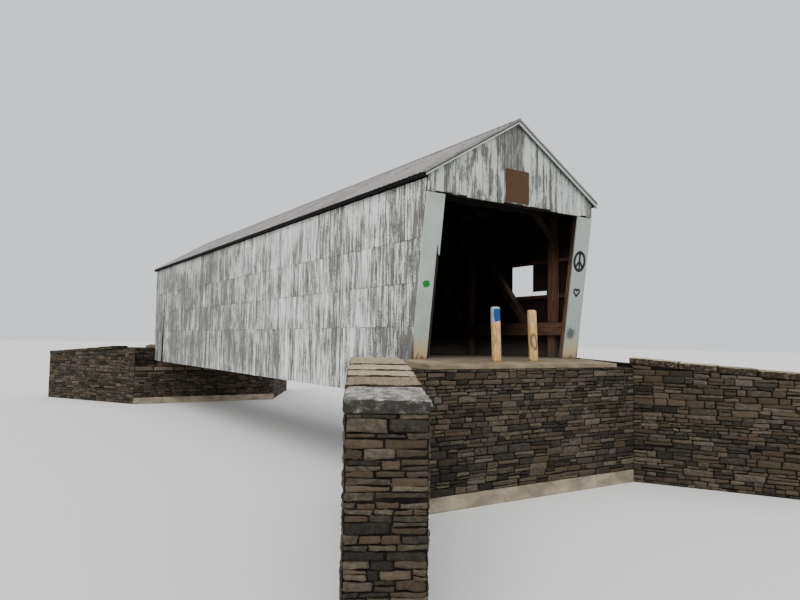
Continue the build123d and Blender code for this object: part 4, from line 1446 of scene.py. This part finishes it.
class BRIDGE_OT_masonry(Operator):
    """Lays stones over the wing walls and abutments and makes the cap slabs and concrete"""
    bl_idname = "bridge.masonry"
    bl_label = "Masonry"

    def execute(self, context):
        settings = settings_of(context)[2]
        dark = ("#1d1a17", "#37322a", "#5f5749")
        pale = ("#5a4d3c", "#8f8069", "#bdad93")
        bleached = ("#4f4c49", "#8a8782", "#cdcac3")
        wall = rough_stone("dark rubble sandstone", dark, 0.09, tint="#4d3f30")
        # sides: the darker colours of the caps' upright faces, painted shade
        tan = rough_stone("tan limestone caps", pale, 0.07, 0.5, 0.25, sides="#2c241b")
        grey = rough_stone("grey limestone end caps", bleached, 0.1, 0.6, 0.85, sides="#33302c")
        course = ("#453b32", "#62564a", "#7c7062")
        ledge = rough_stone("brown sandstone ledge", course, 0.12)
        bed = mortar("old lime mortar", settings.mortar)
        concrete = cast_concrete("weathered cast concrete", "#a89c87", "#7f7464")
        slab = cast_concrete("trodden tan concrete", "#8b7c62", "#695f4d")
        for number, (end, name) in enumerate(((-1, "near"), (1, "far"))):
            for side, hand in ((1, "left"), (-1, "right")):
                rng = np.random.default_rng(53 + 10 * number + side)
                made = wing_stones(end, side, settings, rng)
                made.piece(f"{name}_{hand}_wing_stones", [wall], "fieldstone", smooth=True)
                give_finish(f"{name}_{hand}_wing_wall", bed)
            rng = np.random.default_rng(80 + number)
            made = abutment_stones(end, settings, rng)
            made.piece(name + "_abutment_stones", [wall, ledge], "fieldstone", smooth=True)
            give_finish(name + "_abutment", bed)
            give_finish(name + "_backwall", bed)
            caps = coping_slabs(end, np.random.default_rng(67 + number))
            made = caps.piece(name + "_cap_slabs", [tan, grey], "cap_stone", smooth=True)
            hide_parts(name + "_copings")
        dressed_copy("foundation_concrete", ["footings"], concrete, 0.015)
        dressed_copy("threshold_concrete", ["thresholds"], slab, 0.012)
        return {"FINISHED"}


def give_finish(part, material):
    """Gives a CAD node's material slots a finish."""
    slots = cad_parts[part].material_slots
    for slot in slots:
        slot.material = material
    if not slots:
        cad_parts[part].data.materials.append(material)


class BRIDGE_OT_fittings(Operator):
    """Makes the bollards and the bare sign board with its bolts"""
    bl_idname = "bridge.fittings"
    bl_label = "Bollards and sign"

    def execute(self, context):
        settings = settings_of(context)[3]
        finish = bollard_finish("cracked tan paint", settings)
        made = bollard_posts().piece("bollard_posts", [finish], "bollard_paint", smooth=True)
        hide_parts("bollards")
        marks = Gathered()
        outline = [(0.052, 0.5), (0.03, 0.585), (-0.02, 0.59), (-0.06, 0.5), (-0.058, 0.41), (-0.02, 0.32)]
        outline.append((0.045, 0.26))
        stroke(marks, bollard_face(1), smooth_path(outline, 40), 0.058, thickness=0.002)
        lobe = [(0.052, 0.5), (0.075, 0.46), (0.08, 0.36), (0.06, 0.27)]
        stroke(marks, bollard_face(1), smooth_path(lobe), np.linspace(0.03, 0.055, 24), thickness=0.002)
        brush = plain_paint("brown brushed mark", "#6f5a44", "#80694d")
        marks.piece("bollard_mark", [brush], "bollard_paint")
        brown = plain_paint("matt brown paint", "#4f3820", "#412d19")
        dressed_copy("sign_panel", ["sign_board"], brown, 0.003)
        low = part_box("sign_board")[0]
        plane = Face((low.x, 0, low.z), Y, Z, (-1, 0, 0))
        spots = np.array([(y, z, 0.0) for y in (-0.3, 0.3) for z in (0.04, 0.69)])
        iron = rusty_iron("zinc coach bolts")
        nail_heads([(plane, spots)], 0.012, 0.004).piece("sign_bolts", [iron], "sign_paint")
        return {"FINISHED"}


class BRIDGE_PT_panel(Panel):
    """Lists the bridge's settings and its operators"""
    bl_idname = "BRIDGE_PT_panel"
    bl_label = "Covered bridge"
    bl_space_type = "VIEW_3D"
    bl_region_type = "UI"
    bl_category = "Bridge"

    def draw(self, context):
        for group in settings_of(context):
            box = self.layout.box()
            for name in group.__annotations__:
                box.prop(group, name)
        for operator in OPERATORS:
            self.layout.operator(operator.bl_idname)


GROUPS = {
    "bridge_boards": BridgeBoards,
    "bridge_roof": BridgeRoof,
    "bridge_stones": BridgeStones,
    "bridge_timber": BridgeTimber,
    "bridge_stage": BridgeStage,
}
OPERATORS = (
    BRIDGE_OT_stage,
    BRIDGE_OT_boarding,
    BRIDGE_OT_marks,
    BRIDGE_OT_roofing,
    BRIDGE_OT_timber,
    BRIDGE_OT_masonry,
    BRIDGE_OT_fittings,
)


def register():
    """Registers the settings, the operators and the panel."""
    for made in (*GROUPS.values(), *OPERATORS, BRIDGE_PT_panel):
        bpy.utils.register_class(made)
    for name, group in GROUPS.items():
        setattr(bpy.types.Scene, name, PointerProperty(type=group))


def unregister():
    """Takes the settings, the operators and the panel away."""
    for name in GROUPS:
        delattr(bpy.types.Scene, name)
    for made in reversed((*GROUPS.values(), *OPERATORS, BRIDGE_PT_panel)):
        bpy.utils.unregister_class(made)


def main():
    """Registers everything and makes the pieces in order."""
    register()
    for operator in OPERATORS:
        category, name = operator.bl_idname.split(".")
        getattr(getattr(bpy.ops, category), name)()


if __name__ == "__main__":
    main()
